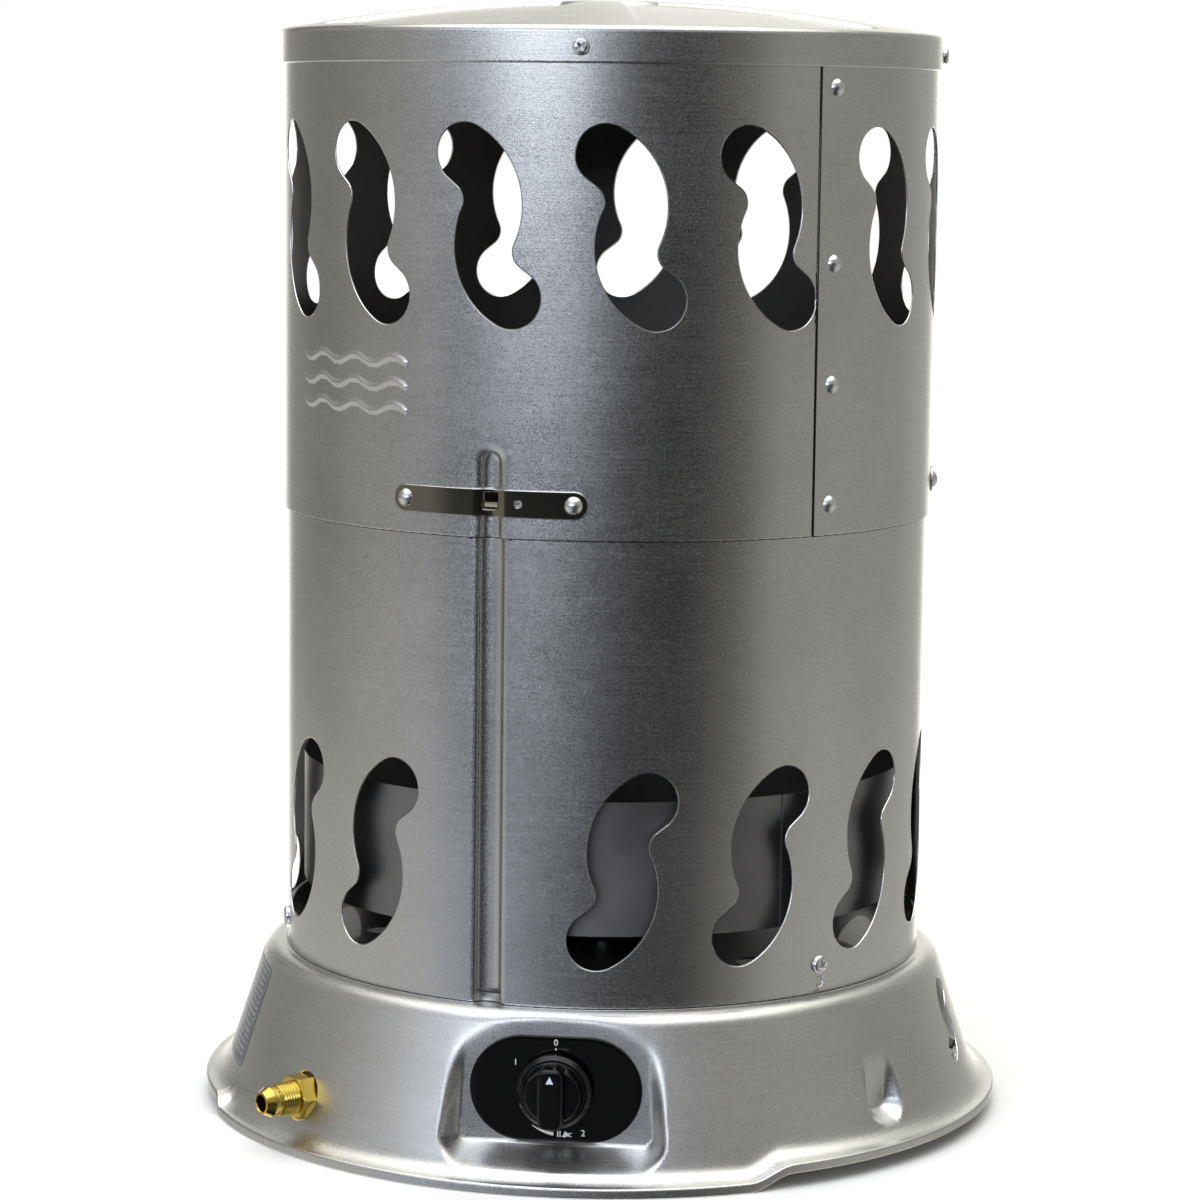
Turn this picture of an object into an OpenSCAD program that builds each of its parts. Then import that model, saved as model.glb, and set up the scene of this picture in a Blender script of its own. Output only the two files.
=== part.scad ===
// Portable propane heater: a louvred two-part drum on a stamped base.
// Origin: drum axis at ground level, +Z up, control knob towards -Y. Millimetres.
// Azimuths are measured from -Y (the front) towards +X.

/* [Drum] */
// Outer radius of the lower drum
lower_r = 158; // [150:0.5:166]
// Height of the lower drum
lower_h = 230; // [225:1:240]
// Sheet thickness of both drums
drum_t = 0.7; // [0.5:0.1:0.9]
// Radial running gap between the two drums
slide_gap = 0.8; // [0.6:0.05:1]
// How far the upper drum laps over the lower one
lap_h = 13; // [10:1:16]
// Height of the upper drum
upper_h = 228; // [224:1:236]
// Azimuth of the upper drum's lapped seam
seam_az = 36.6; // [35:0.1:38]

/* [Guide grooves] */
// Azimuth of the first guide groove
groove_az = -19.5; // [-22:0.5:-17]
// Number of guide grooves and latches
groove_n = 3; // [3:1:3]
// Depth of a guide groove
groove_depth = 8; // [7:0.5:9]
// Radius of the groove's channel
groove_r = 6; // [5.5:0.1:6.5]
// Radius of the groove's mouth edges
mouth_r = 2.5; // [2:0.1:3]
// Height of the guide bead on the upper drum
bead_h = 41.75; // [38:0.25:45]

/* [Louvres] */
// Number of louvres in the upper drum
upper_slots = 15; // [12:1:15]
// Azimuth step between upper louvres
upper_pitch = 23.75; // [23.75:0.05:23.95]
// Azimuth from the seam to the first upper louvre
seam_to_slot = 18.05; // [17:0.05:19]
// Height of the upper louvres' middle above the upper drum's lower edge
upper_slot_z = 141.75; // [135:0.25:150]
// Lower louvres between two grooves
lower_slots = 4; // [3:1:4]
// Azimuth step between lower louvres
lower_pitch = 24.8; // [24:0.1:25]
// Height of the lower louvres' middle above the lower drum's foot
lower_slot_z = 64.6; // [60:0.2:70]
// Radius of the louvre's long side arc
slot_arc_r = 37.8; // [36:0.1:39]
// Radius of the louvre's lobes
slot_lobe_r = 14.1; // [13:0.1:15]
// Radius of the nub between a louvre's lobes
slot_nub_r = 8; // [6:0.5:9]
// Size of the base louvres against the drum's
base_slot_k = 0.48; // [0.4:0.01:0.5]
// Number of louvres in the base
base_slots = 8; // [4:1:8]
// Azimuth of the first base louvre
base_slot_az = 75; // [73:1:80]
// Azimuth step between base louvres
base_slot_pitch = 23; // [20:0.5:23]

/* [Base] */
// Height of the base's shoulder above the ground
seat_z = 78; // [76:0.5:82]
// How far the base's rim stands out past the foot of the skirt's slope
rim_reach = 7.12; // [6:0.01:9]
// Sheet thickness of the base
base_t = 0.9; // [0.8:0.1:1.2]
// Radius of the shoulder bend
shoulder_r = 9; // [8:0.5:10]
// Width of the flat seat round the drum's foot
seat_w = 2.2; // [1.5:0.1:3]
// Slope of the skirt from the vertical, degrees
skirt_a = 18.2; // [17:0.1:18.5]
// Radius of the flare above the rim
flare_r = 12; // [10:0.5:13]
// Height of the rim over the air arches
arch_z = 7; // [6:0.5:8]
// Height of the rolled hem
hem_h = 4.5; // [4:0.25:6]
// Thickness of the rolled hem
hem_t = 1.8; // [1.8:0.1:2.4]
// Azimuth of the middle of the front foot
foot_az = -27; // [-30:1:-24]
// Width of each foot, degrees
foot_w = 97; // [90:1:100]
// Height of the collar inside the drum
collar_h = 18; // [17:0.5:19]
// Azimuth of the first base screw
base_screw_az = 40.5; // [39:0.5:42]
// Height of the base screws above the shoulder
base_screw_z = 14; // [13:0.5:14.5]
// Radius of the sight holes below the base screws
sight_r = 2.8; // [2:0.1:3]
// Height of the sight holes above the shoulder
sight_z = 5.75; // [5.5:0.25:6]

/* [Lid] */
// Height of the lid's skirt
lid_skirt_h = 17; // [15:0.5:18]
// How far the skirt laps over the upper drum
lid_lap = 13.4; // [11:0.2:14]
// Sheet thickness of the lid
lid_t = 0.8; // [0.6:0.1:1]
// Rise of the lid's dome over its edge
lid_rise = 15; // [12:0.5:16]
// Radius of the lid's edge bend
lid_edge_r = 3; // [2.5:0.25:4]
// Depth of the lid's sunk panels
panel_depth = 2.3; // [1.5:0.1:2.6]
// Number of sunk panels
panel_n = 5; // [5:1:5]
// Width of a rib between two panels, degrees
rib_w = 19; // [16:1:22]
// Azimuth of the first rib
rib_az = -6; // [-8:1:-4]
// Radius at which the panels start
hub_r = 26; // [22:1:30]
// Width of the lid's flat edge outside the panels
ledge_w = 9; // [8:0.5:12]
// Radius of the heat baffle under the lid
baffle_r = 120; // [100:5:125]
// Gap between the lid and its baffle
baffle_drop = 22; // [20:1:24]
// Radius of the circle of baffle posts
post_pcd_r = 95; // [85:5:98]

/* [Latches] */
// Height of a latch strap
strap_h = 12; // [11:0.5:13]
// Thickness of a latch strap
strap_t = 0.9; // [0.7:0.1:1.2]
// Height of the strap's middle above the upper drum's lower edge
strap_z = 16.5; // [16:0.25:17]
// Width of the window in a strap
window_w = 8; // [7.6:0.1:8.4]
// Width of a catch
catch_w = 6.5; // [6:0.1:6.8]
// Thickness of a catch
catch_t = 1.6; // [1.2:0.1:2]

/* [Controls] */
// Azimuth of the control panel and the knob
ctl_az = -7; // [-9:0.5:-5]
// Height of the knob's axis above the ground
ctl_z = 42.5; // [41:0.5:44]
// Distance of the control recess's floor from the drum's axis
recess_d = 166; // [165:0.5:167]
// Width of the control plate
plate_w = 80; // [78:1:82]
// Height of the control plate
plate_h = 50; // [48:1:50]
// Thickness of the control plate
plate_t = 1.2; // [1:0.1:1.5]
// Radius of the knob's skirt
knob_r = 17.5; // [16.5:0.5:18.5]
// Depth of the knob
knob_h = 17; // [15:1:18]
// Width of the knob's grip bar
grip_w = 12; // [10:0.5:14]
// Radius of the valve's stem
stem_r = 3; // [2.5:0.1:3.5]
// How far the knob pushes in
push_travel = 3; // [2:0.5:3]
// Radial running clearance of the stem and the plunger
run_gap = 0.05; // [0.03:0.01:0.08]

/* [Gas line] */
// Azimuth of the gas inlet
inlet_az = -50; // [-52:1:-48]
// Height of the gas inlet's axis
inlet_z = 25; // [24:0.5:26]
// Outer radius of the inlet's flare thread
flare_thread_r = 7.94; // [7.94:0.01:7.94]
// Width of the inlet's hexagon across flats
inlet_af = 19; // [18:0.5:19.5]
// Length of the flare nose in front of the thread
nose_l = 8.5; // [7:0.5:10]
// Outer radius of the gas pipes
pipe_r = 4; // [3.5:0.25:4.5]
// Bore radius of the gas pipes
pipe_bore = 3; // [2:0.25:3]
// Radius of the thermocouple lead
lead_r = 1.2; // [1:0.1:1.5]

/* [Burner] */
// Outer radius of the burner
burner_r = 58; // [50:1:65]
// Height of the burner pan above the shoulder
pan_z = 6; // [5:0.5:7]
// Outer radius of the mixer tube
mixer_r = 14; // [13:0.5:16]
// Height of the heat shield band
shield_h = 63; // [55:1:70]
// Height of the heat shield's lower edge above the drum's foot
shield_z = 32.5; // [30:0.5:35]

/* [Hidden] */
$fn = 96;

// small overlap of a cutter past the face it cuts
cut = 1;
// clearance between two pieces of one rigid group that sit on each other
seat_gap = 0.1;
// clearance round a screw or rivet in its hole
hole_gap = 0.1;

// drums
upper_r = lower_r + slide_gap + drum_t;
upper_z = seat_z + lower_h - lap_h;
lower_top = seat_z + lower_h;
upper_top = upper_z + upper_h;
groove_d = lower_r - groove_depth + groove_r;
mouth_d = lower_r - mouth_r;
mouth_a = acos((mouth_d * mouth_d + groove_d * groove_d - pow(groove_r + mouth_r, 2))
    / (2 * mouth_d * groove_d));
bead_half_w = upper_r * sin(mouth_a);
bead_end_z = upper_z + bead_h - bead_half_w;
lap_span = 45;
lap_trim = 8;

// louvre outline: two long arcs, two lobes and two nubs, point symmetric about its middle
slot_arc_c = [-20, 9];
slot_lobe_c = [-11.7, 32.6];
slot_nub_a = 155.1;
nub_dir = [cos(slot_nub_a), sin(slot_nub_a)];
nub_c = -slot_arc_c + (slot_arc_r + slot_nub_r) * nub_dir;
nub_on_arc = -slot_arc_c + slot_arc_r * nub_dir;
nub_to_lobe = slot_lobe_c - nub_c;
nub_tan_a = atan2(nub_to_lobe.y, nub_to_lobe.x)
    - acos((slot_nub_r + slot_lobe_r) / norm(nub_to_lobe));
nub_tan_dir = [cos(nub_tan_a), sin(nub_tan_a)];
slot_top = slot_lobe_c.y + slot_lobe_r;
// how far the line from the nub to the lobe bites into each circle
slot_bite = 0.06;
// how far a louvre's cutter reaches in and out of its wall
slot_reach = 30;

// base
shoulder_c = [lower_r + seat_w, seat_z - shoulder_r];
skirt_n = [cos(skirt_a), sin(skirt_a)];
skirt_top = shoulder_c + shoulder_r * skirt_n;
rim_r = skirt_top.x + (skirt_top.y - hem_h) * tan(skirt_a) + rim_reach;
seat_in = lower_r - 2 * groove_depth;
collar_r = lower_r - drum_t - seat_gap;
base_screw_shank = 2;
base_screw_head = 4.7;
base_screw_n = 3;
screw_head_h = 2.4;
screw_len = 8;
recess_w0 = 100;
recess_w1 = 87;
recess_z0 = 13;
recess_z1 = 90;
dimple_az = 47.5;
dimple_d = 176;
dimple_w = 20;
dimple_z0 = 20;
dimple_z1 = 56;
base_slot_z = 45;
label_az = -85;
label_w = 26;
label_z0 = 22;
label_z1 = 70;
label_t = 0.25;

// lid
lid_r = upper_r + drum_t + seat_gap + lid_t;
lid_z = upper_top - lid_lap;
lid_edge_z = lid_z + lid_skirt_h;
dome_edge_r = lid_r - lid_edge_r;
dome_r = (dome_edge_r * dome_edge_r + lid_rise * lid_rise) / (2 * lid_rise);
dome_c = lid_edge_z + lid_rise - dome_r;
panel_r = lid_r - ledge_w;
lid_screw_az = -5;
lid_screw_n = 4;
lid_screw_z = lid_z + 7.15;
lid_screw_shank = 1.75;
lid_screw_head = 4;
baffle_z = lid_edge_z - baffle_drop;
post_r = 5;
post_h = dome_c + sqrt(pow(dome_r - lid_t, 2) - pow(post_pcd_r + post_r, 2)) - seat_gap - baffle_z;
baffle_rivet_h = 10;

// rivets and latches
seam_rivet_az = seam_az + 3.4;
seam_rivet_zs = [14.75, 70, 125.5, 205.5];
rivet_shank = 2;
rivet_head = 4.25;
latch_z = upper_z + strap_z;
strap_a0 = -18.1;
strap_a1 = 16.5;
latch_rivet_as = [-15.8, 14.1];
strap_in = upper_r + seat_gap;
strap_out = strap_in + strap_t;
dip_c = strap_in + 6.4;
dip_r = 9;
window_z0 = latch_z - 3.4;
window_z1 = latch_z + 5;
catch_gap = 0.3;
catch_z = lower_top + catch_gap;
catch_nose = groove_r - catch_gap - seat_gap;
catch_reach = 2;
strap_hole_a = 5;
strap_hole_r = 2;

// controls, measured along the knob's axis from the drum's axis
plate_face = recess_d + plate_t;
bonnet_r = 6;
nut_t = 2.7;
bonnet_af = 17;
knob_z0 = plate_face + push_travel + 0.7;
knob_top = knob_z0 + knob_h;
bracket_t = 1.5;
valve_front = recess_d - base_t - bracket_t;
valve_len = 38;
valve_back = valve_front - valve_len;
valve_half = 15;
stem_tip = knob_top - 4;
stem_back = valve_front - 14;
plunger_r = 1.6;
plunger_back = valve_back + 6;
outlet_drop = 19;
port_d = valve_front - 19;
port_r = 7;
port_len = 10;
port_end = valve_half + port_len;
magnet_r = 8;
magnet_len = 30;
magnet_nut_l = 8;
magnet_af = 10;
magnet_back = valve_back - magnet_len;
knob_body_r = knob_r - 3;
knob_cap_d = knob_top - 8;
cavity_h = 4;
valve_plate_w = 60;
valve_plate_h = 24;
bracket_screw_x = 24;
bracket_screw_r = 1.5;

// gas line, distances from the drum's axis
bracket_d = lower_r + 10;
inlet_plate_w = 44;
inlet_plate_h = 26;
hex_end = bracket_d + 22;
thread_end = hex_end + 9;
nose_d = thread_end + 2;
inlet_tip = thread_end + nose_l;
spigot_end = bracket_d - 10;
spigot_r = 7;
nut_af = 16;
nut_len = 12;
locknut_l = 5;
supply_z = ctl_z - outlet_drop;
holder_r = 9;
holder_z0 = supply_z - 9;
holder_d = 12;
holder_neck_r = 6;
jet_plate_z = supply_z + 10;
jet_plate_t = 2;
jet_hex_h = 5;
jet_af = 14;
jet_r = 4;
jet_bore = 0.8;
jet_len = 11;
jet_top = jet_plate_z + jet_plate_t + jet_len;

// burner
pan_top = seat_z + pan_z;
pan_t = 1;
pan_gap = drum_t + 2 * seat_gap + base_t;
pan_r = lower_r - pan_gap;
pan_lip = 12;
pan_hole_n = 12;
pan_hole_az = 12;
pan_hole_r = 9;
pan_hole_pcd_r = 110;
mixer_wall = 1.2;
mixer_z0 = jet_top + 3;
mixer_top = pan_top + 10;
flange_r = 27;
flange_t = 4;
bolt_pcd_r = 22.5;
bolt_r = 2;
burner_bolt_n = 4;
bolt_af = 6.5;
bolt_head_h = 3;
bowl_z = pan_top + 18;
bowl_h = 16;
bowl_t = 3;
bowl_top = bowl_z + bowl_h;
cap_t = 1.5;
cap_rise = 16;
cap_rim = 8;
port_hole_r = 2.2;
cap_in = burner_r - cap_rim;
cap_ball = (cap_in * cap_in + cap_rise * cap_rise) / (2 * cap_rise);
shield_t = 0.7;
shield_r = lower_r - groove_depth - drum_t - seat_gap;
shield_seam_az = 34;
leg_x = 17;
leg_t = 2;
probe_az = 25;
probe_d = burner_r + 6;
probe_r = 2.2;
probe_z = pan_top + 6;
probe_h = 48;
shelf_z = pan_top + 16;
shelf_t = 1.2;

// point at an azimuth, a distance from the axis and a height
function at(az, d, z) = [d * sin(az), -d * cos(az), z];
// point in the control frame: right, up and out along the knob's axis
function ctl_at(x, y, d) = [x * cos(ctl_az) + d * sin(ctl_az), x * sin(ctl_az) - d * cos(ctl_az), ctl_z + y];
// cubic curve through four control points
function bezier(p, u) = pow(1 - u, 3) * p[0] + 3 * u * pow(1 - u, 2) * p[1]
    + 3 * u * u * (1 - u) * p[2] + u * u * u * p[3];
function unit(v) = v / norm(v);
function reversed(v) = [for (i = [len(v) - 1 : -1 : 0]) v[i]];
// points of an arc about c from angle a0 to a1
function arc_points(c, r, a0, a1, n = 6) =
    [for (i = [0 : n]) c + r * [cos(a0 + (a1 - a0) * i / n), sin(a0 + (a1 - a0) * i / n)]];

// children's +Z runs out along the knob's axis, +Y up, origin on the drum's axis
module ctl() {
    facing(ctl_az, ctl_z) children();
}

// children's +Z points outwards at an azimuth, +Y points up, origin on the drum's axis
module facing(az, z = 0) {
    rotate([0, 0, az]) translate([0, 0, z]) rotate([90, 0, 0]) children();
}

// children repeated n times round the axis from azimuth az
module around(n, az = 0) {
    for (i = [0 : n - 1]) rotate([0, 0, az + i * 360 / n]) children();
}

// plain tube wall
module tube(r_out, r_in, h) {
    difference() {
        cylinder(h = h, r = r_out);
        translate([0, 0, -cut]) cylinder(h = h + 2 * cut, r = r_in);
    }
}

// hexagonal bar by its width across flats
module hex_bar(af, h) {
    cylinder(h = h, r = af / (2 * cos(30)), $fn = 6);
}

// half plane on the left of the Y axis, turned by a and moved by e
module half_plane(a, e = 0) {
    rotate(a) translate([-2 * rim_r + e, -rim_r]) square([2 * rim_r, 2 * rim_r]);
}

// wedge of the plane between two azimuths
module wedge(a0, a1) {
    intersection() {
        half_plane(a1);
        half_plane(a0 + 180);
    }
}

// round pipe along a cubic curve, ring by ring
module bent_pipe(p, r, sides = 10, rings = 24) {
    path = [for (i = [0 : rings]) bezier(p, i / rings)];
    dirs = [for (i = [0 : rings]) unit(path[min(i + 1, rings)] - path[max(i - 1, 0)])];
    side_v = [for (d = dirs) unit(cross(d, [0.13, 0.21, 0.97]))];
    up_v = [for (i = [0 : rings]) cross(side_v[i], dirs[i])];
    pts = [for (i = [0 : rings], k = [0 : sides - 1])
        path[i] + r * (cos(360 * k / sides) * side_v[i] + sin(360 * k / sides) * up_v[i])];
    walls = [for (i = [0 : rings - 1], k = [0 : sides - 1], t = [0, 1])
        let (a = i * sides + k, b = i * sides + (k + 1) % sides)
            t == 0 ? [a, b, b + sides] : [a, b + sides, a + sides]];
    ends = [[for (k = [sides - 1 : -1 : 0]) k], [for (k = [0 : sides - 1]) rings * sides + k]];
    polyhedron(points = pts, faces = concat(walls, ends), convexity = 6);
}

// pan-head screw standing on z = 0 with its shank down and a cross recess
module pan_screw(head_r, head_h, shank, len) {
    difference() {
        union() {
            intersection() {
                translate([0, 0, head_h - 1.35 * head_r]) sphere(r = 1.35 * head_r);
                cylinder(h = head_h, r = head_r);
            }
            translate([0, 0, -len]) cylinder(h = len + 0.5, r = shank);
        }
        for (a = [0, 90]) rotate([0, 0, a])
            translate([-head_r / 2, -head_r / 9, head_h / 2]) cube([head_r, head_r / 4.5, head_h]);
    }
}

// domed rivet standing on z = 0 with a flush shank
module dome_rivet(head_r, shank, len) {
    intersection() {
        translate([0, 0, -0.6 * head_r]) sphere(r = head_r * 1.166);
        cylinder(h = head_r, r = head_r);
    }
    translate([0, 0, -len]) cylinder(h = len + 0.5, r = shank);
}

// ---- louvres ----

// upper half of a louvre, before the nub at its left is taken out
module slot_half() {
    intersection() {
        translate(slot_arc_c) circle(r = slot_arc_r);
        union() {
            translate(slot_lobe_c) circle(r = slot_lobe_r);
            polygon([1.3 * nub_on_arc, nub_c + (slot_nub_r - slot_bite) * nub_tan_dir,
                slot_lobe_c - (slot_lobe_r - slot_bite) * nub_tan_dir, slot_lobe_c,
                [slot_lobe_c.x, 1.1 * slot_top], [slot_arc_r, 1.1 * slot_top],
                [slot_arc_r, -nub_on_arc.y], -1.3 * nub_on_arc]);
        }
    }
}

// whole louvre outline with its top lobe on the left
module slot_shape() {
    difference() {
        union() {
            slot_half();
            rotate(180) slot_half();
        }
        for (s = [-1, 1]) translate(s * nub_c) circle(r = slot_nub_r + slot_bite);
    }
}

// louvre cutter through a wall at distance d from the axis
module slot_cut(d, z) {
    translate([0, 0, z]) rotate([90, 0, 0]) translate([0, 0, d - slot_reach])
        linear_extrude(2 * slot_reach) slot_shape();
}

// ---- drums ----

// plan of one guide groove for the surface that lies e outside the lower drum's face
module groove_plan(e) {
    mouth = mouth_d * [sin(mouth_a), -cos(mouth_a)];
    bottom = [0, -groove_d];
    wall_a = atan2(mouth.y - bottom.y, mouth.x - bottom.x);
    lip = (mouth_d + mouth_r + e + slot_bite) / mouth_d * mouth;
    side = concat([1.1 * lip, lip],
        [for (i = [1 : 5]) let (a = mouth_a - 90 - i * (90 + mouth_a - wall_a) / 6)
            mouth + (mouth_r + e) * [cos(a), sin(a)]]);
    polygon(concat(side, arc_points(bottom, groove_r - e, wall_a, 180 - wall_a, 12),
        reversed([for (v = side) [-v.x, v.y]])));
}

// plan of everything inside the surface that lies e outside the lower drum's face
module drum_plan(e) {
    difference() {
        circle(r = lower_r + e);
        around(groove_n, groove_az) groove_plan(e);
    }
}

// solid inside the upper drum's surface that lies e outside the lower drum's face
module upper_form(e) {
    difference() {
        translate([0, 0, upper_z]) cylinder(h = upper_h, r = lower_r + e);
        around(groove_n, groove_az) {
            translate([0, 0, upper_z - cut]) linear_extrude(bead_end_z - upper_z + cut) groove_plan(e);
            facing(0, bead_end_z) rotate_extrude(angle = 180) intersection() {
                mirror([0, 1]) groove_plan(e);
                square([2 * lower_r, 2 * lower_r]);
            }
        }
    }
}

// radial hole through a wall at distance d from the axis
module radial_hole(az, z, d, r) {
    facing(az, z) translate([0, 0, d - 6]) cylinder(h = 12, r = r);
}

module lower_shell() {
    color([0.72, 0.73, 0.75]) difference() {
        translate([0, 0, seat_z]) linear_extrude(lower_h) difference() {
            drum_plan(0);
            drum_plan(-drum_t);
        }
        for (g = [0 : groove_n - 1], k = [0 : lower_slots - 1])
            rotate([0, 0, groove_az + (g + 0.5) * 360 / groove_n
                + (k - (lower_slots - 1) / 2) * lower_pitch])
                mirror([1, 0, 0]) slot_cut(lower_r, seat_z + lower_slot_z);
        for (i = [0 : base_screw_n - 1]) {
            az = base_screw_az + i * 360 / base_screw_n;
            radial_hole(az, seat_z + base_screw_z, lower_r, base_screw_shank + hole_gap);
            radial_hole(az, seat_z + sight_z, lower_r, sight_r);
        }
    }
}

module upper_shell() {
    lap_dir = seam_az + lap_span - 90;
    lap_shift = drum_t / sin(lap_span);
    color([0.72, 0.73, 0.75]) difference() {
        union() {
            difference() {
                upper_form(slide_gap + drum_t);
                upper_form(slide_gap);
            }
            translate([0, 0, upper_z]) linear_extrude(upper_h) difference() {
                intersection() {
                    rotate(lap_dir) translate([0, -lap_shift]) circle(r = upper_r);
                    wedge(seam_az, seam_az + lap_span - lap_trim);
                }
                circle(r = upper_r - drum_t / 2);
            }
        }
        for (k = [0 : upper_slots - 1])
            rotate([0, 0, seam_az + seam_to_slot + k * upper_pitch])
                slot_cut(upper_r, upper_z + upper_slot_z);
        for (z = seam_rivet_zs)
            radial_hole(seam_rivet_az, upper_z + z, upper_r, rivet_shank + hole_gap);
        for (g = [0 : groove_n - 1]) {
            az = groove_az + g * 360 / groove_n;
            for (a = latch_rivet_as)
                radial_hole(az + a, latch_z, upper_r, rivet_shank + hole_gap);
            rotate([0, 0, az]) translate([-catch_w / 2 - catch_gap, -groove_d, catch_z - catch_gap])
                cube([catch_w + 2 * catch_gap, groove_r + 2, catch_t + 2 * catch_gap]);
        }
        for (i = [0 : lid_screw_n - 1])
            radial_hole(lid_screw_az + i * 360 / lid_screw_n, lid_screw_z, upper_r,
                lid_screw_shank + hole_gap);
    }
}

module seam_rivets() {
    color([0.8, 0.8, 0.82]) for (z = seam_rivet_zs)
        facing(seam_rivet_az, upper_z + z) translate([0, 0, upper_r + drum_t])
            dome_rivet(rivet_head, rivet_shank, 2 * drum_t);
}

// ---- latches ----

module latch_strap() {
    difference() {
        intersection() {
            translate([0, 0, latch_z - strap_h / 2]) linear_extrude(strap_h) difference() {
                union() {
                    intersection() {
                        difference() {
                            circle(r = strap_out);
                            circle(r = strap_in);
                        }
                        wedge(strap_a0, strap_a1);
                        difference() {
                            square(4 * rim_r, center = true);
                            translate([0, -dip_c]) circle(r = dip_r - strap_t / 2);
                        }
                    }
                    intersection() {
                        translate([0, -dip_c]) difference() {
                            circle(r = dip_r);
                            circle(r = dip_r - strap_t);
                        }
                        circle(r = strap_out);
                    }
                }
            }
            union() {
                for (a = [strap_a0, strap_a1])
                    facing(a - sign(a) * asin(strap_h / 2 / strap_out), latch_z)
                        translate([0, 0, strap_in - 5]) cylinder(h = 10, r = strap_h / 2);
                translate([0, 0, latch_z - strap_h / 2]) linear_extrude(strap_h)
                    wedge(strap_a0 + asin(strap_h / 2 / strap_out),
                        strap_a1 - asin(strap_h / 2 / strap_out));
            }
        }
        translate([-window_w / 2, -lower_r - 20, window_z0])
            cube([window_w, 40, window_z1 - window_z0]);
        for (a = latch_rivet_as) radial_hole(a, latch_z, strap_in, rivet_shank + hole_gap);
        radial_hole(strap_hole_a, latch_z, strap_in, strap_hole_r);
    }
}

module latch_straps() {
    color([0.36, 0.33, 0.3]) around(groove_n, groove_az) latch_strap();
}

module latch_rivets() {
    color([0.8, 0.8, 0.82]) around(groove_n, groove_az) for (a = latch_rivet_as)
        facing(a, latch_z) translate([0, 0, strap_out + seat_gap / 2])
            dome_rivet(rivet_head, rivet_shank, strap_out - upper_r + drum_t);
}

// spring catch: a tongue over the lower drum's top edge and a thumb plate above it
module catch(i) {
    color([0.85, 0.85, 0.87]) rotate([0, 0, groove_az + i * 360 / groove_n]) {
        intersection() {
            translate([-catch_w / 2, -groove_d - catch_reach, catch_z])
                cube([catch_w, catch_reach + groove_r, catch_t]);
            translate([0, -groove_d, catch_z]) cylinder(h = catch_t, r = catch_nose);
        }
        translate([-catch_w / 2, -groove_d - catch_reach, catch_z])
            cube([catch_w, 1, window_z1 - catch_z - catch_gap]);
    }
}

module catch_front() { catch(0); }

module catch_right() { catch(1); }

module catch_back() { catch(2); }

// ---- lid ----

// solid under the lid's raised surface, e inside its face
module lid_body(e) {
    rotate_extrude() intersection() {
        union() {
            translate([0, lid_z - cut]) square([lid_r - e, lid_skirt_h + cut - lid_edge_r]);
            translate([0, lid_z]) square([dome_edge_r, lid_skirt_h + lid_rise]);
            translate([dome_edge_r, lid_edge_z - lid_edge_r]) circle(r = lid_edge_r - e);
        }
        difference() {
            translate([0, dome_c]) circle(r = dome_r - e, $fn = 720);
            translate([-2 * rim_r, -2 * dome_r]) square([2 * rim_r, 4 * dome_r]);
        }
    }
}

// plan of one sunk panel, its walls moved out by e
module panel_plan(e) {
    half = 180 / panel_n - rib_w / 2;
    intersection() {
        difference() {
            circle(r = panel_r + e);
            circle(r = hub_r - e);
        }
        half_plane(half, e);
        half_plane(180 - half, e);
    }
}

// solid inside the lid's pressed surface, e inside its face
module lid_form(e) {
    difference() {
        lid_body(e);
        difference() {
            translate([0, 0, lid_edge_z - lid_edge_r - panel_depth]) linear_extrude(2 * lid_rise)
                for (k = [0 : panel_n - 1])
                    rotate(rib_az + (k + 0.5) * 360 / panel_n) panel_plan(e);
            translate([0, 0, -panel_depth]) lid_body(e);
        }
    }
}

module lid() {
    color([0.74, 0.75, 0.77]) difference() {
        lid_form(0);
        difference() {
            lid_form(lid_t);
            translate([0, 0, lid_z - 2 * cut]) cylinder(h = cut, r = 2 * rim_r);
        }
        translate([0, 0, lid_z - 2 * cut]) cylinder(h = 2 * cut, r = 2 * rim_r);
        for (i = [0 : lid_screw_n - 1])
            radial_hole(lid_screw_az + i * 360 / lid_screw_n, lid_screw_z, lid_r,
                lid_screw_shank + hole_gap);
    }
}

module lid_screws() {
    color([0.78, 0.79, 0.8]) around(lid_screw_n, lid_screw_az)
        facing(0, lid_screw_z) translate([0, 0, lid_r])
            pan_screw(lid_screw_head, screw_head_h, lid_screw_shank, screw_len);
}

module lid_baffle() {
    color([0.6, 0.6, 0.6]) difference() {
        translate([0, 0, baffle_z - lid_t]) cylinder(h = lid_t, r = baffle_r);
        around(panel_n, rib_az) translate([0, -post_pcd_r, baffle_z - 2 * cut])
            cylinder(h = 4 * cut, r = rivet_shank + hole_gap);
    }
}

// spacers welded under the lid's ribs
module baffle_posts() {
    color([0.65, 0.65, 0.66]) around(panel_n, rib_az) translate([0, -post_pcd_r, baffle_z])
        difference() {
            cylinder(h = post_h, r = post_r);
            translate([0, 0, -cut])
                cylinder(h = baffle_rivet_h + cut + seat_gap, r = rivet_shank + hole_gap);
        }
}

module baffle_rivets() {
    color([0.8, 0.8, 0.82]) around(panel_n, rib_az) translate([0, -post_pcd_r, baffle_z - lid_t]) {
        cylinder(h = lid_t + baffle_rivet_h, r = rivet_shank);
        mirror([0, 0, 1]) cylinder(h = 1.5, r = rivet_head);
    }
}

// ---- base ----

// line of the skirt's flare e inside its outer face, out to a rim at height flange_z
function flare_line(e, flange_z) =
    let (flare_z = flange_z + flare_r * (1 - skirt_n.y),
        flare_c = [skirt_top.x + (skirt_top.y - flare_z) * tan(skirt_a), flare_z] + flare_r * skirt_n)
    arc_points(flare_c, flare_r + e, 180 + skirt_a, 270);

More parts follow.
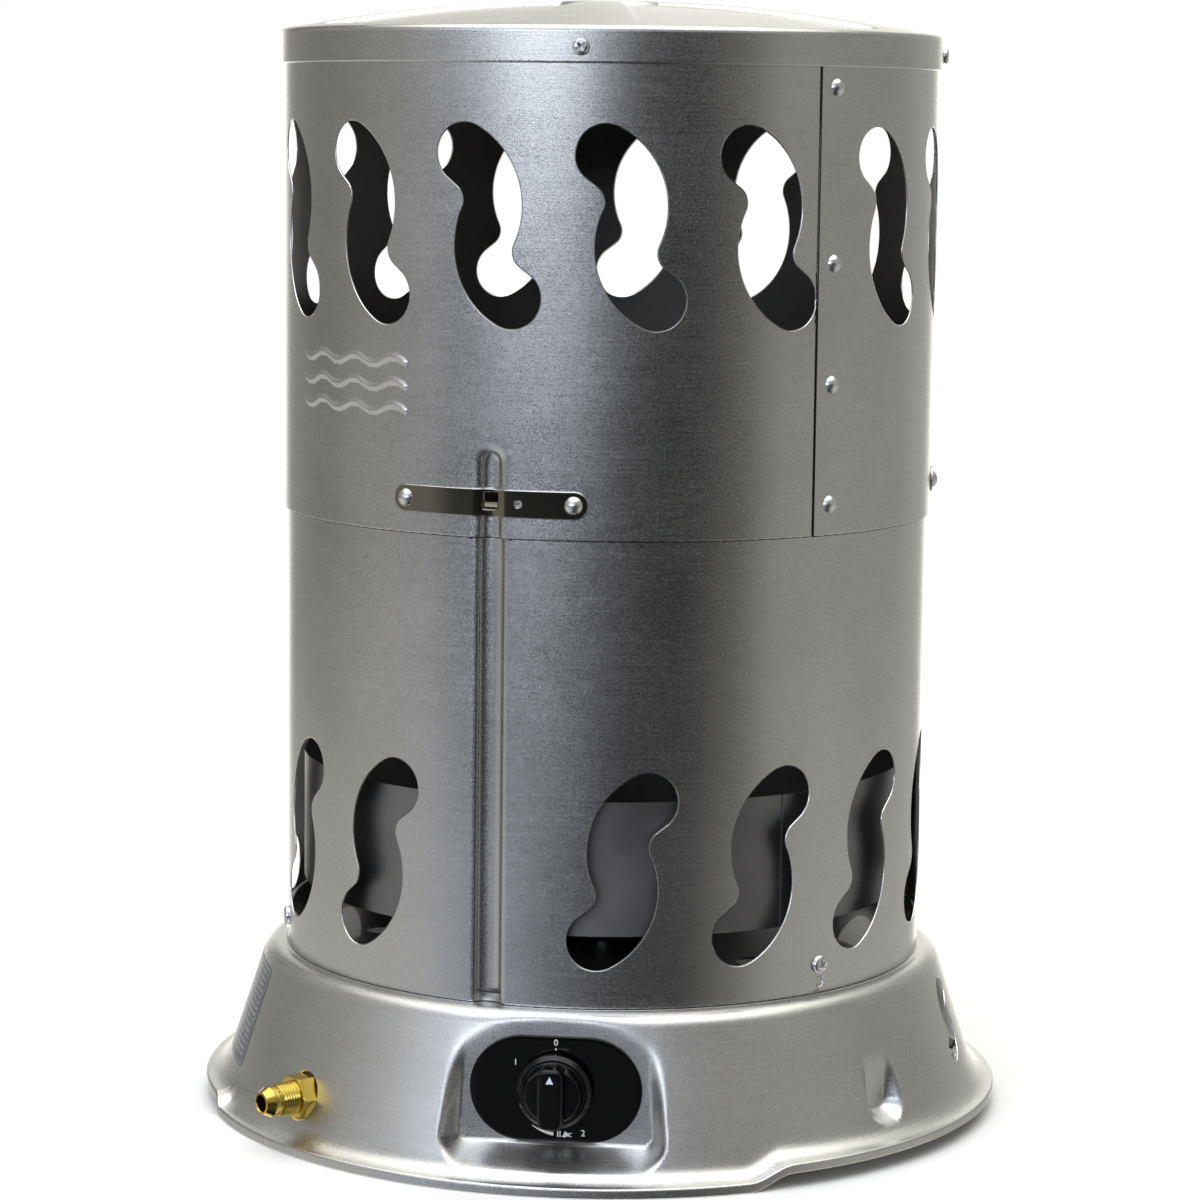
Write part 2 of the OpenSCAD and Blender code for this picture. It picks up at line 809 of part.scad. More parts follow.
// everything under the surface e inside the skirt's outer face, down to foot_z
module skirt_section(e, flange_z, foot_z = 0) {
    polygon(concat([[0, foot_z], [0, seat_z - e]],
        arc_points(shoulder_c, shoulder_r - e, 90, skirt_a), flare_line(e, flange_z),
        [[2 * rim_r, flange_z - e], [2 * rim_r, foot_z]]));
}

// sweep of a section between two azimuths
module sweep(a0, a1) {
    rotate([0, 0, a0 - 90]) rotate_extrude(angle = a1 - a0) children();
}

// outline of a pressed pocket: width at its foot and head, foot and head heights
module pocket_plan(w0, w1, z0, z1, e) {
    polygon([[-w0 / 2 - e, z0 - e], [w0 / 2 + e, z0 - e], [w1 / 2 + e, z1 + e], [-w1 / 2 - e, z1 + e]]);
}

// room in front of a pocket's floor, e behind it
module pocket_room(d, w0, w1, z0, z1, e) {
    rotate([90, 0, 0]) translate([0, 0, d - e]) linear_extrude(rim_r - d + 10 + e)
        pocket_plan(w0, w1, z0, z1, e);
}

module recess_room(e) {
    rotate([0, 0, ctl_az])
        pocket_room(recess_d, recess_w0, recess_w1, recess_z0, recess_z1, e);
}

module dimple_room(e) {
    rotate([0, 0, dimple_az]) pocket_room(dimple_d, dimple_w, dimple_w, dimple_z0, dimple_z1, e);
}

// solid under the skirt's surface, e inside it, from a lip short of the rim: two feet, and between
// them two air arches that start and end a step inside the feet's ends
module base_form(e, lip, step, foot_z) {
    rotate_extrude() intersection() {
        skirt_section(e, hem_h, foot_z);
        translate([0, foot_z]) square([rim_r - lip, seat_z + 2 * cut]);
    }
    flare = flare_line(e, arch_z + hem_h);
    for (f = [0, 180]) arch_sweep(f, step) intersection() {
        polygon(concat([[seat_in, cut], [seat_in, flare[0].y], flare[0] - slot_bite * skirt_n],
            [for (i = [1 : len(flare) - 1]) flare[i]],
            [[2 * rim_r, arch_z + hem_h - e], [2 * rim_r, cut]]));
        square([rim_r - lip - slot_bite, seat_z]);
    }
}

// sweep of a section over one air arch
module arch_sweep(f, step) {
    sweep(foot_az + foot_w / 2 + f + step, foot_az - foot_w / 2 + 180 + f - step) children();
}

// skirt on two feet with an air arch on each side
module base_skirt() {
    step = 0.25;
    difference() {
        base_form(0, 0, 0, 0);
        base_form(base_t, hem_t, step, -cut);
        translate([0, 0, -cut]) cylinder(h = 2 * seat_z, r = seat_in);
        for (f = [0, 180]) arch_sweep(f, 2 * step) translate([seat_in, -cut])
            square([rim_r, arch_z + cut]);
    }
}

// cutters for the louvres round the back of the skirt
module base_louvres() {
    for (k = [0 : base_slots - 1])
        rotate([0, 0, base_slot_az + k * base_slot_pitch]) translate([0, 0, base_slot_z])
            rotate([90, 0, 0]) translate([0, 0, lower_r]) linear_extrude(2 * slot_reach)
                scale(base_slot_k) mirror([1, 0]) slot_shape();
}

module base_pan() {
    color([0.72, 0.73, 0.75]) difference() {
        union() {
            difference() {
                union() {
                    difference() {
                        base_skirt();
                        base_louvres();
                    }
                    translate([0, 0, seat_z - base_t]) linear_extrude(collar_h + base_t)
                        drum_plan(-drum_t - seat_gap);
                }
                translate([0, 0, -cut]) linear_extrude(seat_z + collar_h + 2 * cut)
                    drum_plan(-drum_t - seat_gap - base_t);
                recess_room(0);
                dimple_room(0);
            }
            intersection() {
                rotate_extrude() intersection() {
                    skirt_section(0, hem_h);
                    translate([0, hem_h]) square([rim_r, seat_z]);
                }
                union() {
                    difference() {
                        recess_room(base_t);
                        recess_room(0);
                    }
                    difference() {
                        dimple_room(base_t);
                        dimple_room(0);
                    }
                }
            }
        }
        for (i = [0 : base_screw_n - 1]) {
            az = base_screw_az + i * 360 / base_screw_n;
            radial_hole(az, seat_z + base_screw_z, collar_r, base_screw_shank + hole_gap);
            radial_hole(az, seat_z + sight_z, collar_r, sight_r);
        }
        facing(inlet_az, inlet_z) translate([0, 0, bracket_d + 5])
            cylinder(h = 30, r = inlet_af / (2 * cos(30)) + 4 * hole_gap);
        ctl() translate([0, 0, valve_front]) cylinder(h = rim_r - valve_front, r = bonnet_r + hole_gap);
        ctl() for (s = [-1, 1]) translate([s * bracket_screw_x, 0, valve_front])
            cylinder(h = rim_r - valve_front, r = bracket_screw_r + hole_gap);
    }
}

// sticker on the skirt's left side
module rating_label() {
    color([0.25, 0.26, 0.28]) sweep(label_az - label_w / 2, label_az + label_w / 2) intersection() {
        difference() {
            skirt_section(-label_t, hem_h);
            skirt_section(0, hem_h);
        }
        translate([0, label_z0]) square([rim_r, label_z1 - label_z0]);
    }
}

module base_screws() {
    color([0.78, 0.79, 0.8]) around(base_screw_n, base_screw_az)
        facing(0, seat_z + base_screw_z) translate([0, 0, lower_r])
            pan_screw(base_screw_head, screw_head_h, base_screw_shank, screw_len);
}

// ---- burner ----

module burner_pan() {
    color([0.2, 0.2, 0.21]) difference() {
        union() {
            translate([0, 0, pan_top - pan_t]) linear_extrude(pan_t) drum_plan(-pan_gap);
            difference() {
                translate([0, 0, pan_top - pan_t]) tube(pan_r, pan_r - pan_t, pan_lip);
                around(groove_n, groove_az) translate([-2 * groove_r, -lower_r, pan_top])
                    cube([4 * groove_r, 4 * groove_depth, pan_lip]);
            }
        }
        translate([0, 0, pan_top - 2 * pan_t]) cylinder(h = 3 * pan_t, r = mixer_r + 1);
        around(pan_hole_n, pan_hole_az) translate([0, -pan_hole_pcd_r, pan_top - 2 * pan_t])
            cylinder(h = 3 * pan_t, r = pan_hole_r);
        for (i = [0 : base_screw_n - 1])
            radial_hole(base_screw_az + i * 360 / base_screw_n, seat_z + base_screw_z, pan_r,
                base_screw_shank + hole_gap);
        bolt_holes(pan_top - 2 * pan_t, 3 * pan_t);
        translate(at(probe_az, probe_d, pan_top - 2 * pan_t)) cylinder(h = 3 * pan_t, r = probe_r);
    }
}

// holes of the burner's bolt circle
module bolt_holes(z, h) {
    around(burner_bolt_n) translate([0, -bolt_pcd_r, z]) cylinder(h = h, r = bolt_r + hole_gap);
}

// band of sheet inside the drum, lapped at its seam
module heat_shield() {
    color([0.62, 0.62, 0.63]) translate([0, 0, seat_z + shield_z]) {
        tube(shield_r, shield_r - shield_t, shield_h);
        linear_extrude(shield_h) intersection() {
            difference() {
                circle(r = shield_r + shield_t);
                circle(r = shield_r - shield_t / 2);
            }
            wedge(shield_seam_az, shield_seam_az + 7);
        }
    }
}

module burner_bowl() {
    neck_r = mixer_r + 4;
    cone_z = bowl_z - 8;
    color([0.24, 0.24, 0.25]) difference() {
        rotate_extrude() difference() {
            union() {
                translate([0, pan_top]) square([flange_r, flange_t]);
                translate([0, pan_top]) square([neck_r, bowl_z - pan_top]);
                polygon([[0, cone_z], [neck_r, cone_z], [burner_r, bowl_z + bowl_t],
                    [burner_r, bowl_top], [0, bowl_top]]);
            }
            polygon([[0, cone_z + bowl_t], [neck_r, cone_z + bowl_t],
                [burner_r - bowl_t, bowl_z + 2 * bowl_t], [burner_r - bowl_t, bowl_top + cut],
                [0, bowl_top + cut]]);
            translate([0, pan_top - cut]) square([mixer_r + seat_gap, bowl_z]);
        }
        bolt_holes(pan_top - cut, flange_t + 2 * cut);
    }
}

module burner_cap() {
    color([0.5, 0.48, 0.46]) difference() {
        rotate_extrude() intersection() {
            union() {
                translate([cap_in - 3 * cap_t, bowl_top]) square([cap_rim + 3 * cap_t, cap_t]);
                difference() {
                    translate([0, bowl_top + cap_rise - cap_ball]) circle(r = cap_ball, $fn = 240);
                    translate([0, bowl_top + cap_rise - cap_ball])
                        circle(r = cap_ball - cap_t, $fn = 240);
                }
            }
            translate([0, bowl_top]) square([burner_r, 2 * cap_rise]);
        }
        for (row = [[42, 12], [31, 10], [20, 6]])
            around(row[1]) translate([row[0], 0, bowl_top - cut])
                cylinder(h = 2 * cap_rise, r = port_hole_r);
    }
}

module burner_bolts() {
    color([0.7, 0.7, 0.72]) around(burner_bolt_n)
        translate([0, -bolt_pcd_r, pan_top + flange_t]) {
            hex_bar(bolt_af, bolt_head_h);
            translate([0, 0, -flange_t - pan_t - leg_t]) cylinder(h = flange_t + pan_t + leg_t, r = bolt_r);
        }
}

// air and gas mixing tube with a flared mouth over the jet
module mixer_tube() {
    color([0.3, 0.3, 0.31]) rotate_extrude() polygon([[mixer_r - mixer_wall, mixer_z0 + 8],
        [mixer_r - mixer_wall, mixer_top], [mixer_r, mixer_top], [mixer_r, mixer_z0 + 8],
        [mixer_r + 2, mixer_z0], [mixer_r + 2 - mixer_wall, mixer_z0]]);
}

// stirrup that holds the jet under the mixer
module jet_bracket() {
    half_d = 8;
    foot_len = 12;
    leg_top = pan_top - pan_t;
    color([0.6, 0.6, 0.62]) difference() {
        union() {
            translate([-leg_x - leg_t, -half_d, jet_plate_z])
                cube([2 * (leg_x + leg_t), 2 * half_d, jet_plate_t]);
            for (s = [0, 1]) mirror([s, 0, 0]) {
                translate([leg_x, -half_d, jet_plate_z])
                    cube([leg_t, 2 * half_d, leg_top - jet_plate_z]);
                translate([leg_x, -half_d, leg_top - leg_t]) cube([foot_len, 2 * half_d, leg_t]);
            }
        }
        translate([0, 0, jet_plate_z - cut]) cylinder(h = 3 * jet_plate_t, r = holder_neck_r + hole_gap);
        bolt_holes(leg_top - 2 * leg_t, 3 * leg_t);
    }
}

// elbow that turns the gas up into the jet
module jet_holder() {
    color([0.75, 0.6, 0.25]) difference() {
        union() {
            translate([0, 0, holder_z0]) hex_bar(2 * holder_r, jet_plate_z - holder_z0);
            translate([0, 0, holder_z0])
                cylinder(h = jet_plate_z + jet_plate_t - holder_z0, r = holder_neck_r);
            facing(ctl_az, supply_z) cylinder(h = holder_d, r = spigot_r);
        }
        translate([0, 0, supply_z]) cylinder(h = 4 * holder_r, r = 3 * jet_bore);
        facing(ctl_az, supply_z) translate([0, 0, -1.2 * pipe_bore])
            cylinder(h = holder_d + 2 * pipe_bore, r = pipe_bore);
    }
}

module gas_jet() {
    z = jet_plate_z + jet_plate_t;
    color([0.8, 0.65, 0.3]) difference() {
        union() {
            translate([0, 0, z]) hex_bar(jet_af, jet_hex_h);
            translate([0, 0, z]) cylinder(h = jet_top - z, r = jet_r);
        }
        translate([0, 0, z - cut]) cylinder(h = jet_hex_h, r = 3 * jet_bore);
        translate([0, 0, z]) cylinder(h = 2 * jet_top, r = jet_bore);
    }
}

// ---- gas line ----

// flare nut round a pipe, from z = 0 up
module pipe_nut() {
    difference() {
        hex_bar(nut_af, nut_len);
        translate([0, 0, -cut]) cylinder(h = nut_len + 2 * cut, r = pipe_r + seat_gap);
    }
}

module supply_pipe() {
    color([0.72, 0.45, 0.3]) facing(ctl_az, supply_z) translate([0, 0, holder_d])
        tube(pipe_r, pipe_bore, valve_back - holder_d);
}

module supply_nuts() {
    color([0.75, 0.6, 0.25]) facing(ctl_az, supply_z) {
        translate([0, 0, holder_d]) pipe_nut();
        translate([0, 0, valve_back - nut_len]) pipe_nut();
    }
}

// brass inlet: hexagon, flare thread and nose outside, threaded spigot inside
module inlet_fitting() {
    core_r = spigot_r - 1;
    nose_r = flare_thread_r - 0.6;
    nose_body = 2.5;
    color([0.85, 0.68, 0.25]) facing(inlet_az, inlet_z) difference() {
        union() {
            translate([0, 0, spigot_end]) cylinder(h = nose_d + 1 - spigot_end, r = core_r);
            translate([0, 0, spigot_end]) cylinder(h = bracket_d + 5 - spigot_end, r = spigot_r);
            translate([0, 0, bracket_d + bracket_t]) intersection() {
                hex_bar(inlet_af, hex_end - bracket_d - bracket_t);
                cylinder(h = hex_end - bracket_d - bracket_t, r1 = 2 * inlet_af, r2 = inlet_af / 2 + 0.6);
            }
            translate([0, 0, hex_end]) cylinder(h = thread_end - hex_end, r = flare_thread_r);
            translate([0, 0, nose_d]) cylinder(h = nose_body, r = nose_r);
            translate([0, 0, nose_d + nose_body])
                cylinder(h = inlet_tip - nose_d - nose_body, r1 = nose_r, r2 = pipe_r + 1);
        }
        translate([0, 0, spigot_end - cut])
            cylinder(h = inlet_tip - spigot_end + 2 * cut, r = pipe_r);
    }
}

// plate behind the skirt that carries the inlet, its side flanges on the skirt
module inlet_bracket() {
    low = [-inlet_plate_w / 2, -inlet_plate_h / 2, bracket_d];
    color([0.6, 0.6, 0.62]) {
        facing(inlet_az, inlet_z) difference() {
            translate(low) cube([inlet_plate_w, inlet_plate_h, bracket_t]);
            translate([0, 0, bracket_d - cut]) cylinder(h = 4 * bracket_t, r = spigot_r + hole_gap);
        }
        intersection() {
            facing(inlet_az, inlet_z) for (s = [0, 1]) mirror([s, 0, 0])
                translate(low) cube([bracket_t, inlet_plate_h, rim_r - bracket_d]);
            rotate_extrude() intersection() {
                skirt_section(base_t + seat_gap, hem_h);
                square([rim_r, seat_z]);
            }
        }
    }
}

module inlet_locknut() {
    color([0.75, 0.6, 0.25]) facing(inlet_az, inlet_z) translate([0, 0, bracket_d - locknut_l])
        difference() {
            hex_bar(inlet_af, locknut_l);
            translate([0, 0, -cut]) cylinder(h = locknut_l + 2 * cut, r = spigot_r + seat_gap);
        }
}

// pipe from the inlet to the valve's left port
module inlet_pipe() {
    from_d = spigot_end - nut_len;
    to_x = -port_end - nut_len;
    reach = 28;
    color([0.72, 0.45, 0.3]) {
        facing(inlet_az, inlet_z) translate([0, 0, from_d]) cylinder(h = nut_len, r = pipe_r);
        ctl() translate([to_x, 0, port_d]) rotate([0, 90, 0]) cylinder(h = nut_len, r = pipe_r);
        bent_pipe([at(inlet_az, from_d + 0.5, inlet_z), at(inlet_az, from_d - reach, inlet_z),
            ctl_at(to_x - reach, 0, port_d), ctl_at(to_x + 0.5, 0, port_d)], pipe_r, 12);
    }
}

module inlet_nuts() {
    color([0.75, 0.6, 0.25]) {
        facing(inlet_az, inlet_z) translate([0, 0, spigot_end - nut_len]) pipe_nut();
        ctl() translate([-port_end - nut_len, 0, port_d]) rotate([0, 90, 0]) pipe_nut();
    }
}

// ---- valve and knob ----

module valve_body() {
    bore_d = stem_back - push_travel - 0.5;
    color([0.75, 0.62, 0.3]) ctl() difference() {
        union() {
            translate([-valve_half, -outlet_drop - 7, valve_back])
                cube([2 * valve_half, outlet_drop + 7 + valve_half, valve_len]);
            cylinder(h = plate_face + nut_t + 0.5, r = bonnet_r);
            translate([-port_end, 0, port_d]) rotate([0, 90, 0]) cylinder(h = port_len, r = port_r);
        }
        translate([0, 0, -cut]) cylinder(h = valve_back + cut, r = bonnet_r + cut);
        translate([0, 0, bore_d]) cylinder(h = knob_top, r = stem_r + run_gap);
        translate([0, 0, valve_back - cut]) cylinder(h = knob_top, r = plunger_r + run_gap);
    }
}

module valve_bracket() {
    color([0.6, 0.6, 0.62]) ctl() difference() {
        translate([-valve_plate_w / 2, -valve_plate_h / 2, valve_front])
            cube([valve_plate_w, valve_plate_h, bracket_t]);
        translate([0, 0, valve_front - cut]) cylinder(h = 4 * bracket_t, r = bonnet_r + hole_gap);
        for (s = [-1, 1]) translate([s * bracket_screw_x, 0, valve_front - cut])
            cylinder(h = 4 * bracket_t, r = bracket_screw_r + hole_gap);
    }
}

module bracket_screws() {
    color([0.78, 0.79, 0.8]) ctl() for (s = [-1, 1])
        translate([s * bracket_screw_x, 0, valve_front]) rotate([180, 0, 0])
            pan_screw(3.2, 2, bracket_screw_r, bracket_t + base_t - seat_gap);
}

// flame-failure magnet screwed to the valve's back
module magnet_unit() {
    color([0.8, 0.8, 0.78]) ctl() {
        translate([0, 0, magnet_back + magnet_nut_l])
            cylinder(h = magnet_len - magnet_nut_l, r = magnet_r);
        translate([0, 0, magnet_back]) hex_bar(magnet_af, magnet_nut_l);
    }
}

module bonnet_nut() {
    color([0.7, 0.7, 0.72]) ctl() translate([0, 0, plate_face]) difference() {
        hex_bar(bonnet_af, nut_t);
        translate([0, 0, -cut]) cylinder(h = nut_t + 2 * cut, r = bonnet_r + hole_gap);
    }
}

module control_plate() {
    color([0.03, 0.03, 0.035]) ctl() difference() {
        translate([0, 0, recess_d]) linear_extrude(plate_t) {
            for (s = [-1, 1]) translate([s * (plate_w - plate_h) / 2, 0]) circle(d = plate_h);
            square([plate_w - plate_h, plate_h], center = true);
        }
        translate([0, 0, recess_d - cut]) cylinder(h = 2 * cut + plate_t, r = bonnet_r + hole_gap);
    }
}

// push rod inside the valve, moved by the stem
module valve_plunger() {
    color([0.8, 0.8, 0.82]) ctl() translate([0, 0, plunger_back])
        cylinder(h = stem_back - plunger_back, r = plunger_r);
}

module valve_stem() {
    color([0.75, 0.72, 0.6]) ctl() translate([0, 0, stem_back]) cylinder(h = stem_tip - stem_back, r = stem_r);
}

module control_knob() {
    color([0.04, 0.04, 0.045]) ctl() difference() {
        union() {
            rotate_extrude() polygon([[0, knob_z0], [knob_r, knob_z0], [knob_r, knob_z0 + 2],
                [knob_r - 1.5, knob_z0 + 3.5], [knob_body_r, knob_z0 + 4],
                [knob_body_r - 0.8, knob_cap_d - 1], [knob_body_r - 2, knob_cap_d], [0, knob_cap_d]]);
            intersection() {
                translate([-grip_w / 2, -knob_body_r, knob_z0 + 4])
                    cube([grip_w, 2 * knob_body_r, knob_top - knob_z0 - 4]);
                rotate_extrude() polygon([[0, knob_z0], [knob_body_r, knob_z0],
                    [knob_body_r - 0.8, knob_top - 1.5], [knob_body_r - 2, knob_top], [0, knob_top]]);
            }
        }
        translate([0, 0, knob_z0 - cut]) cylinder(h = cavity_h + cut, r = knob_r - 5);
        translate([0, 0, knob_z0 - cut]) cylinder(h = stem_tip - knob_z0 + cut, r = stem_r + run_gap);
    }
}

// printed arrow on the grip, standing on its face
module knob_pointer() {
    color([0.8, 0.88, 0.95]) ctl() translate([0, knob_body_r - 9, knob_top])
        linear_extrude(0.3) polygon([[-2.7, 0], [2.7, 0], [0, 5.7]]);
}

// ---- flame sensor ----

module thermocouple() {
    color([0.7, 0.68, 0.62]) translate(at(probe_az, probe_d, probe_z)) {
        cylinder(h = probe_h - probe_r, r = probe_r);
        translate([0, 0, probe_h - probe_r]) sphere(r = probe_r);
        translate([0, 0, shelf_z + shelf_t - probe_z]) cylinder(h = 4, r = 1.6 * probe_r);
    }
}

module thermocouple_bracket() {
    back = probe_d + 5;
    half_w = 7;
    color([0.6, 0.6, 0.62]) rotate([0, 0, probe_az]) difference() {
        union() {
            translate([-half_w, -back, pan_top]) cube([2 * half_w, shelf_t, shelf_z + shelf_t - pan_top]);
            translate([-half_w, -back, shelf_z]) cube([2 * half_w, back - burner_r - 1, shelf_t]);
            translate([-half_w, -back - 10, pan_top]) cube([2 * half_w, 10 + shelf_t, shelf_t]);
        }
        translate([0, -probe_d, shelf_z - cut]) cylinder(h = 3 * cut + shelf_t, r = probe_r + hole_gap);
    }
}

module thermocouple_lead() {
    color([0.72, 0.45, 0.3]) bent_pipe([ctl_at(0, 0, magnet_back), ctl_at(0, 0, magnet_back - 45),
        at(probe_az, probe_d, probe_z - 50), at(probe_az, probe_d, probe_z)], lead_r, 8, 36);
}

base_pan();
rating_label();
lower_shell();
base_screws();
burner_pan();
heat_shield();
burner_bowl();
burner_cap();
burner_bolts();
mixer_tube();
jet_bracket();
jet_holder();
gas_jet();
supply_pipe();
supply_nuts();
inlet_fitting();
inlet_bracket();
inlet_locknut();
inlet_pipe();
inlet_nuts();
valve_body();
valve_bracket();
bracket_screws();
magnet_unit();
bonnet_nut();
thermocouple();
thermocouple_bracket();
thermocouple_lead();
control_plate();
valve_plunger();
valve_stem();
control_knob();
knob_pointer();
upper_shell();
seam_rivets();
latch_straps();
latch_rivets();
catch_front();
catch_right();
catch_back();
lid();
lid_screws();
lid_baffle();
baffle_posts();
baffle_rivets();
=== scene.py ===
"""Portable propane heater: a louvred two-part drum of zinc-coated sheet on a stamped base.

Sizes are in millimetres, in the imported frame: drum axis on Z, ground at 0, control knob towards -Y.
Azimuths are degrees from the front (-Y) towards +X. Meshes are written in metres.
"""
from math import acos, asin, atan2, cos, degrees, hypot, pi, radians, sin, sqrt, tan

import bmesh
import bpy
import numpy as np
from mathutils import Matrix, Vector
from mathutils.geometry import delaunay_2d_cdt


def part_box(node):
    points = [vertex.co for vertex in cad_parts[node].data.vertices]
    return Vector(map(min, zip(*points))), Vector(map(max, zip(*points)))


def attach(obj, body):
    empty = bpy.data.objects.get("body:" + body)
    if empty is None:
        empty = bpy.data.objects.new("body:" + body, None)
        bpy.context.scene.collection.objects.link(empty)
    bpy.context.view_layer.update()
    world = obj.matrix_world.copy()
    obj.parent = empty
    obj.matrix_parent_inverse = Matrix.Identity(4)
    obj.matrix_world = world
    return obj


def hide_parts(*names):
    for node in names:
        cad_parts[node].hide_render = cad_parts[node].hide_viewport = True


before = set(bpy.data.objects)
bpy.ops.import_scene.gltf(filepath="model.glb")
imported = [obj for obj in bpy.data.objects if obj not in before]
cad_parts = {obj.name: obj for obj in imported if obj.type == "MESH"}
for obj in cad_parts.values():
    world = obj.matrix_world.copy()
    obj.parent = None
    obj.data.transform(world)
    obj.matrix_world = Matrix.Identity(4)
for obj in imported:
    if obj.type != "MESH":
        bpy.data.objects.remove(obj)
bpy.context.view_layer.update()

# ==== Camera =========================================================================
# Level with the hood's louvres, 1.8 m in front, tipped 7.6 degrees down.

eye = Vector((0.0, -1.7962, 0.4873))
pitch, roll, yaw = 0.1327, 0.0121, -0.0016
ahead = Vector((sin(yaw) * cos(pitch), cos(yaw) * cos(pitch), -sin(pitch)))
level = Vector((cos(yaw), -sin(yaw), 0.0))
over = level.cross(ahead)
right = cos(roll) * level + sin(roll) * over
over = -sin(roll) * level + cos(roll) * over
camera_data = bpy.data.cameras.new("camera")
camera_data.sensor_width = 36.0
camera_data.lens = 109.27
camera = bpy.data.objects.new("camera", camera_data)
camera.matrix_world = Matrix.Translation(eye) @ Matrix((right, over, -ahead)).transposed().to_4x4()
bpy.context.scene.collection.objects.link(camera)
bpy.context.scene.camera = camera

# ==== Base ===========================================================================
# Bowl pressed from one blank of zinc-coated sheet: a collar and seat for the drum, a sloping
# skirt, and a flared rim with a rolled hem. Two long feet stand 7 mm below two air arches.
# Pressed into it are a flat recess for the controls and a dimple; eight louvres let air in.


def node(tree, kind, inputs=None, **settings):
    """Adds a shader node; inputs holds values, or sockets that are linked."""
    made = tree.nodes.new(kind)
    for key, value in settings.items():
        setattr(made, key, value)
    for key, value in (inputs or {}).items():
        if isinstance(value, bpy.types.NodeSocket):
            tree.links.new(value, made.inputs[key])
        else:
            made.inputs[key].default_value = value
    return made


def new_group(name, inputs, outputs):
    """Starts a node group with float inputs (name, default) and outputs (name, socket type)."""
    tree = bpy.data.node_groups.new(name, "ShaderNodeTree")
    for label, value in inputs:
        tree.interface.new_socket(label, in_out="INPUT", socket_type="NodeSocketFloat").default_value = value
    for label, kind in outputs:
        tree.interface.new_socket(label, in_out="OUTPUT", socket_type=kind)
    return tree, tree.nodes.new("NodeGroupInput").outputs, tree.nodes.new("NodeGroupOutput").inputs


def combine(operation, *values):
    """Output of a Math node, in the node tree that the values come from."""
    tree = next(value.id_data for value in values if isinstance(value, bpy.types.NodeSocket))
    return node(tree, "ShaderNodeMath", dict(enumerate(values)), operation=operation).outputs[0]


def times(a, b):
    """Product of two values."""
    return combine("MULTIPLY", a, b)


def plus(a, b):
    """Sum of two values."""
    return combine("ADD", a, b)


def minus(a, b):
    """The first value less the second."""
    return combine("SUBTRACT", a, b)


def noise(place, scale, detail):
    """Cloudy noise of about 0.5, with finer noise laid over it detail times."""
    return node(place.id_data, "ShaderNodeTexNoise",
                {"Vector": place, "Scale": scale, "Detail": detail}).outputs["Fac"]


def stretched(place, scale, turn=(0.0, 0.0, 0.0)):
    """Coordinates turned and scaled, so that a pattern on them runs out into streaks."""
    return node(place.id_data, "ShaderNodeMapping",
                {"Vector": place, "Rotation": turn, "Scale": scale}).outputs[0]


def make_coat_grain():
    """Zinc coat: crystals from Voronoi cells and fine noise, rolling lines from noise stretched
    level, mottling from coarse noise, scratches from the peaks of noise stretched 25 to 1. Shade
    is about 1 on average."""
    tree, given, out = new_group(
        "coat_grain", [("Crystal", 0.5), ("Mottle", 0.5), ("Scratch", 0.3)],
        [("Shade", "NodeSocketFloat"), ("Roughen", "NodeSocketFloat"), ("Height", "NodeSocketFloat")])
    place = node(tree, "ShaderNodeTexCoord").outputs["Object"]
    cells = node(tree, "ShaderNodeTexVoronoi", {"Vector": place, "Scale": 3400.0})
    spark = node(tree, "ShaderNodeSeparateColor", {"Color": cells.outputs["Color"]}).outputs[0]
    fine = noise(place, 2400.0, 2.0)
    cloud = noise(place, 22.0, 4.0)
    rolled = noise(stretched(place, (40.0, 40.0, 2400.0)), 1.0, 2.0)
    lines = noise(stretched(place, (60.0, 1500.0, 1500.0), (0.4, 0.3, 0.9)), 1.0, 1.0)
    scratch = times(combine("GREATER_THAN", lines, 0.73), given["Scratch"])
    crystal = times(minus(plus(spark, plus(fine, times(rolled, 0.8))), 1.4), given["Crystal"])
    mottle = times(minus(cloud, 0.5), given["Mottle"])
    shade = plus(1.0, plus(times(crystal, 0.35), mottle))
    tree.links.new(plus(shade, times(scratch, 0.25)), out["Shade"])
    tree.links.new(plus(times(crystal, 0.18), times(mottle, 0.35)), out["Roughen"])
    tree.links.new(minus(crystal, scratch), out["Height"])
    return tree


coat_grain = make_coat_grain()


def new_finish(name):
    """Material, its node tree and its shader."""
    mat = bpy.data.materials.new(name)
    mat.use_nodes = True
    return mat, mat.node_tree, mat.node_tree.nodes["Principled BSDF"]


def shaded(tree, color, value, blend):
    """A colour blended with a grey value."""
    grey = node(tree, "ShaderNodeCombineColor", {"Red": value, "Green": value, "Blue": value})
    mix = node(tree, "ShaderNodeMix", {"Factor": 1.0}, data_type="RGBA", blend_type=blend)
    mix.inputs[6].default_value = (*color, 1.0)
    tree.links.new(grey.outputs[0], mix.inputs[7])
    return mix.outputs[2]


def metal_finish(name, color, roughness, crystal=0.5, mottle=0.4, scratch=0.3, bump=0.1, metallic=1.0):
    """Bare or plated metal: its colour and roughness vary with the coat's grain."""
    mat, tree, shader = new_finish(name)
    grain = node(tree, "ShaderNodeGroup", node_tree=coat_grain)
    for label, value in (("Crystal", crystal), ("Mottle", mottle), ("Scratch", scratch)):
        grain.inputs[label].default_value = value
    tree.links.new(shaded(tree, color, grain.outputs["Shade"], "MULTIPLY"), shader.inputs["Base Color"])
    tree.links.new(plus(grain.outputs["Roughen"], roughness), shader.inputs["Roughness"])
    relief = node(tree, "ShaderNodeBump", {"Height": grain.outputs["Height"], "Strength": bump,
                                           "Distance": 0.0003})
    tree.links.new(relief.outputs["Normal"], shader.inputs["Normal"])
    shader.inputs["Metallic"].default_value = metallic
    return mat


